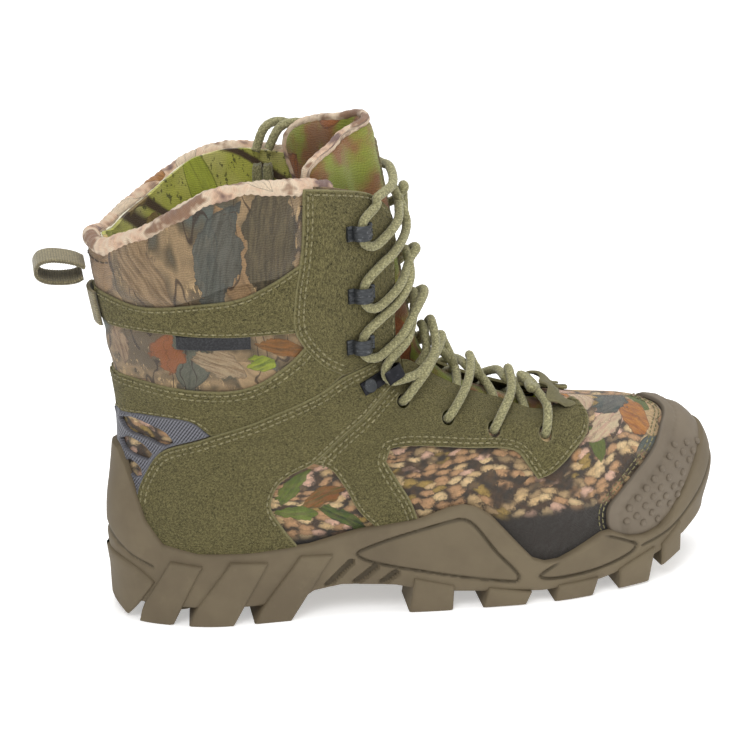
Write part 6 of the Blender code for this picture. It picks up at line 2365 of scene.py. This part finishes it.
@dataclass
class Hardware:
    """The ribbed lace loops, and the hooks with their rivets."""

    width: float = 13.0
    height: float = 7.5
    rise: float = 6.6
    wall: float = 1.2

    def build(self, wear: "Wardrobe") -> None:
        """Makes three loops, a hook and a rivet on each side."""
        for side in (OUTER, INNER):
            word = WORDS[side]
            for k, spot in enumerate(Lacing.LOOPS):
                points, faces, flat = self.loop(*spot, side)
                flat[:, 2] = NO_EDGE
                settle(make_piece(f"tunnel_loop_{word}_{k + 1}", points, faces, wear.gun,
                                  flat), "loop_metal", [f"lace_loop_{word}_{k + 1}"])
            points, faces, flat = self.hook(side)
            settle(make_piece(f"hook_plate_{word}", points, faces, wear.black, flat),
                   "hook_metal", [f"lace_hook_{word}"])
            points, faces, flat = self.rivet(side)
            settle(make_piece(f"rivet_head_{word}", points, faces, wear.gun, flat),
                   "loop_metal", [f"hook_rivet_{word}"])

    def loop(self, x: float, z: float, side: int) -> tuple[Array, Faces, Array]:
        """One arch with three raised ribs and a foot at each end."""
        half = self.width / 2
        spots = [(-half - 1.0, 0.5), (-half + 1.0, 0.55), (-half + 2.3, 0.9)]
        for k in range(13):
            a = math.pi - math.pi * k / 12
            spots.append(((half - 2.3) * math.cos(a), 1.6 + (self.rise - 2.0) * math.sin(a)))
        spots += [(half - 2.3, 0.9), (half - 1.0, 0.55), (half + 1.0, 0.5)]
        path = even(curve_through(np.array(spots), 0.5, corner=400), 0.5)

        def ribs(s: Array, k: Array) -> Array:
            """Three ribs that run along the arch."""
            return 0.42 * np.maximum(np.cos(k * math.pi * 3), 0) ** 1.5

        return swept_strip(beside_frame(x, z, side, 2.75), path, self.wall,
                           self.height / 2, ribs, 33)

    def hook(self, side: int) -> tuple[Array, Faces, Array]:
        """The plate that folds over into an open lip."""
        lace = Lacing()
        origin, forward, up, out = beside_frame(*lace.hook, side, 2.85)
        along, across = math.cos(lace.tilt), math.sin(lace.tilt)
        axes = (origin, forward * along + up * across, up * along - forward * across, out)
        spots = [(-4.4, 0.6), (4.0, 0.6), (lace.reach, 0.6)]
        for k in range(1, 6):
            a = -math.pi / 2 + math.pi * k / 5
            spots.append((lace.reach + 3.4 * math.cos(a), 4.0 + 3.4 * math.sin(a)))
        spots += [(9.0, 7.6), (6.4, 8.6)]
        path = even(curve_through(np.array(spots), 0.5, corner=400), 0.5)

        def crown(s: Array, k: Array) -> Array:
            """A raised bead down the middle of the plate."""
            return 0.35 * bell(k, 0.45)

        points, faces, flat = swept_strip(axes, path, 1.1, 3.4, crown, 21)
        flat[:, 2] = NO_EDGE
        return points, faces, flat

    def rivet(self, side: int) -> tuple[Array, Faces, Array]:
        """The round head that holds the hook, with a flat top and a soft rim."""
        origin, forward, up, out = beside_frame(*Lacing().hook, side, 3.6)
        turn = np.arange(36) * math.pi / 18
        circle = np.outer(np.cos(turn), forward) + np.outer(np.sin(turn), up)
        profile = ((3.0, -0.6), (3.5, 0.2), (3.55, 0.7), (3.3, 1.25), (2.8, 1.55),
                   (2.5, 1.5), (2.2, 1.42), (0.6, 1.5))
        points = np.concatenate([origin + circle * r + out * h for r, h in profile])
        faces = grid_faces(len(profile), 36, True)
        last = (len(profile) - 1) * 36
        caps = [list(range(36)), [last + k for k in range(36)]]
        faces = faces.tolist() + [caps[0][::-1], caps[1]]
        if side == INNER:
            faces = [face[::-1] for face in faces]
        return points, faces, np.column_stack([points[:, 0], points[:, 2],
                                               np.full(len(points), NO_EDGE)])


@dataclass
class PullLoop:
    """The ribbed webbing at the back of the collar."""

    width: float = 24.0
    thick: float = 1.6
    hinge: tuple[float, float] = (-5.4, 174.0)

    @staticmethod
    def ribs(s: Array, k: Array) -> Array:
        """Cross ribs, with a plain woven edge."""
        return 0.24 * np.abs(np.sin(s * math.pi / 1.25)) * ease((1 - np.abs(k)) / 0.08)

    def build(self, wear: "Wardrobe") -> None:
        """Makes the sewn end and the free loop."""
        axes = (np.zeros(3), np.array([1.0, 0, 0]), np.array([0, 1.0, 0]),
                np.array([0, 0, 1.0]))
        sewn = [(-2.6, 149), (-3.5, 155), (-4.3, 160), (-5.1, 165.6)]
        free = [(-6.4, 177.6), (-10, 179.6), (-16, 181.4), (-23, 182.2), (-27.6, 181.0),
                (-29.6, 178.0), (-29.2, 174.8), (-26, 172.3), (-18, 170.8),
                (-10.6, 171.2), (-7.6, 172.6)]
        for name, spots, node, body in (("pull_tape_end", sewn, "pull_loop_base", BOOT),
                                        ("pull_tape", free, "pull_loop", "pull_loop")):
            path = even(curve_through(np.array(spots), 0.25, corner=400), 0.25)
            mesh = swept_strip(axes, path, self.thick, self.width / 2, self.ribs, 25)
            if body == BOOT:
                mesh[0][:, 0] += mesh[0][:, 1] ** 2 / 60
            settle(make_piece(name, mesh[0], mesh[1], wear.webbing, mesh[2]), "webbing",
                   [node], body)


def side_label(wear: Wardrobe) -> None:
    """The small plain tape that shows under the collar band on the outer side."""
    loop = side_loop([(33, 141.4), (67, 140.6), (67, 147.5), (33, 148.2)], OUTER, 1.0)
    piece = cut_sheet("label_tape", [loop], 0.8, 2.0, wear.label, (0.4, 0.4), 1.6)
    settle(piece, "label_cloth", ["side_label"])


@dataclass(frozen=True)
class Plate:
    """A layer inside the sole, cut to the last's outline."""

    name: str
    node: str
    slot: str
    grow: float
    low: Callable[[Array], Array]
    high: Callable[[Array], Array]
    body: str = BOOT
    toe: float = 400.0

    def ring(self, inset: float, share: float) -> Array:
        """The outline drawn in by an inset, at a share of the plate's height."""
        phi = np.linspace(-math.pi, math.pi, 241)[:-1]
        base, n = LAST.point(np.zeros(240), phi), LAST.normal(np.zeros(240), phi)
        n[:, 2] = 0
        n /= np.linalg.norm(n, axis=1, keepdims=True)
        out = base + n * (self.grow - inset)
        out[:, 0] -= 0.7 * np.maximum(out[:, 0] - self.toe, 0)
        low, high = self.low(out[:, 0]), self.high(out[:, 0])
        out[:, 2] = low + (high - low) * share
        return out

    def build(self, finish: bpy.types.Material) -> None:
        """Makes the plate with rounded edges."""
        rings = [self.ring(*spot) for spot in ((0.6, 0.0), (0.0, 0.12), (0.0, 0.86),
                                               (0.4, 0.96), (1.4, 1.0))]
        middle = rings[-1].mean(axis=0)
        for k in (0.85, 0.6, 0.3, 0.08):
            ring = middle + (rings[4] - middle) * k
            ring[:, 2] = self.high(ring[:, 0])
            rings.append(ring)
        points = np.concatenate(rings)
        last = (len(rings) - 1) * 240
        faces = grid_faces(len(rings), 240, True).tolist()
        faces += [list(range(240))[::-1], [last + k for k in range(240)]]
        flat = np.column_stack([points[:, 0], points[:, 1], np.full(len(points), NO_EDGE)])
        settle(make_piece(self.name, points, faces, finish, flat), self.slot, [self.node],
               self.body)


PLATES = [
    Plate("felt_insole", "footbed", "footbed_felt", -8.6,
          lambda x: feather(x) - 1.2, lambda x: feather(x) + 2.9, "footbed"),
    Plate("fibre_insole", "lasting_board", "fibre_board", -1.6,
          lambda x: feather(x) - 3.8, lambda x: feather(x) - 1.8),
    Plate("foam_plate", "midsole", "midsole_foam", -2.0,
          lambda x: np.minimum(np.interp(x, *Sole.BOTTOM.T) + 5.0, 18.4).clip(13.9),
          lambda x: np.full_like(x, 19.4, dtype=float), BOOT, 262.0)]


# ---- studio ----------------------------------------------------------------------------

@dataclass
class Studio:
    """The pale floor, the soft lights and the camera."""

    target: tuple[float, float, float] = (146.88, 0.0, 110.4)
    yaw: float = math.radians(10)
    rise: float = math.radians(18)
    roll: float = math.radians(-1.75)
    far: float = 1152.0
    focal: float = 2318.84
    middle: tuple[float, float] = (403.68, 369.11)
    picture: float = 750.0

    def camera(self) -> None:
        """Sets the camera by its angles and the way it is framed."""
        a, e, r = self.yaw, self.rise, self.roll
        look = np.array([math.sin(a) * math.cos(e), math.cos(a) * math.cos(e), -math.sin(e)])
        right = np.array([math.cos(a), -math.sin(a), 0.0])
        up = np.cross(right, look)
        right_, up_ = (right * math.cos(r) + up * math.sin(r),
                       up * math.cos(r) - right * math.sin(r))
        data = bpy.data.cameras.new("camera")
        data.sensor_width = 36.0
        data.lens = self.focal / self.picture * 36.0
        data.shift_x = (self.picture / 2 - self.middle[0]) / self.picture
        data.shift_y = (self.middle[1] - self.picture / 2) / self.picture
        data.clip_end = 20.0
        camera = bpy.data.objects.new("camera", data)
        bpy.context.scene.collection.objects.link(camera)
        matrix = np.eye(4)
        matrix[:3, 0], matrix[:3, 1], matrix[:3, 2] = right_, up_, -look
        matrix[:3, 3] = place(np.array(self.target) - look * self.far)
        camera.matrix_world = Matrix(matrix.tolist())
        bpy.context.scene.camera = camera

    def light(self, name: str, spot: tuple[float, float, float], size: float,
              power: float) -> None:
        """A soft square light that faces the boot's middle."""
        data = bpy.data.lights.new(name, "AREA")
        data.size, data.energy = size, power
        lamp = bpy.data.objects.new(name, data)
        bpy.context.scene.collection.objects.link(lamp)
        lamp.location = spot
        lamp.rotation_euler = (Vector((0, 0, 0.1)) - Vector(spot)).to_track_quat(
            "-Z", "Y").to_euler()

    def build(self) -> None:
        """Makes floor, lights, world and camera."""
        self.camera()
        self.light("key", (-0.6, -1.4, 1.9), 1.2, 19.0)
        self.light("fill", (1.7, -0.9, 1.0), 1.4, 9.0)
        self.light("top", (0.25, 0.35, 2.2), 1.4, 22.0)
        mesh = bpy.data.meshes.new("floor")
        mesh.from_pydata([(-6, -6, 0), (6, -6, 0), (6, 6, 0), (-6, 6, 0)], [], [(0, 1, 2, 3)])
        floor = bpy.data.objects.new("floor", mesh)
        bpy.context.scene.collection.objects.link(floor)
        pale = Graph("pale_floor")
        floor.data.materials.append(pale.finish(
            (0.94, 0.94, 0.94), 0.9, Emission_Color=(1, 1, 1, 1), Emission_Strength=0.4))
        world = bpy.data.worlds.new("studio")
        world.use_nodes = True
        world.node_tree.nodes["Background"].inputs["Color"].default_value = (1, 1, 1, 1)
        world.node_tree.nodes["Background"].inputs["Strength"].default_value = 0.55
        bpy.context.scene.world = world
        bpy.context.scene.view_settings.view_transform = "Standard"


def printed_leaves() -> dict[Print, list[Leaf]]:
    """The leaves that lie at their own places on each printed cloth."""
    def on(x: float, z: float, length: float, width: float, turn: float,
           light: tuple[float, float, float], dark: tuple[float, float, float],
           side: int = OUTER) -> Leaf:
        """A leaf whose middle is a side-view point."""
        u, v = LAST.flat(*LAST.locate(x, z, side))[0]
        return Leaf(float(u), float(v), length, width, turn, light, dark)

    return {Print.BARK: [
        on(244, 80, 15, 6, 20, SAND, PINK),
        on(262, 80.5, 10, 8, -40, ORANGE, RUST),
        on(252, 86, 16, 7, 0, SLATE, rgb(62, 74, 72)),
        on(236, 88.5, 12, 6, 60, PINK, SAND),
        on(84, 68, 13, 5, 60, rgb(104, 124, 40), MOSS),
        on(98, 62, 12, 6, 20, rgb(146, 88, 36), rgb(96, 84, 30)),
        on(108, 50, 15, 4, -35, rgb(92, 112, 38), rgb(46, 62, 26)),
        on(86, 54, 12, 4, -10, rgb(110, 132, 42), MOSS)],
        Print.COLLAR: [
        on(20, 180, 20, 9, -50, rgb(158, 132, 98), rgb(116, 92, 62)),
        on(78, 190, 26, 13, 70, rgb(96, 86, 62), rgb(70, 62, 46)),
        on(52, 186, 17, 10, 60, rgb(92, 94, 86), rgb(72, 74, 66)),
        on(28, 138, 13, 9, 80, rgb(150, 86, 44), RUST),
        on(52, 134, 15, 8, -30, rgb(178, 156, 122), rgb(140, 114, 84)),
        on(82, 140, 13, 4, -14, rgb(150, 96, 38), rgb(110, 76, 34)),
        on(72, 133, 7, 5, 20, LIME, rgb(106, 122, 34)),
        on(8, 140, 12, 6, 90, rgb(168, 142, 110), rgb(124, 96, 70))]}


def main() -> None:
    """Builds the boot's looks piece by piece."""
    logging.basicConfig(level=logging.INFO, format="%(message)s")
    Studio().build()
    wear = Wardrobe(printed_leaves())
    Lacing().build(wear)
    Sole().build(wear)
    Cloth().build(wear)
    CollarEdge().build(wear)
    SuedeSet().build(wear)
    HeelCap().build(wear)
    ToeCap().build(wear)
    Tongue().build(wear)
    Hardware().build(wear)
    PullLoop().build(wear)
    side_label(wear)
    for plate in PLATES:
        plate.build(wear.inner.pop(plate.node))
    for node, material in wear.inner.items():
        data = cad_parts[node].data
        data.materials.clear()
        data.materials.append(material)


if __name__ == "__main__":
    main()
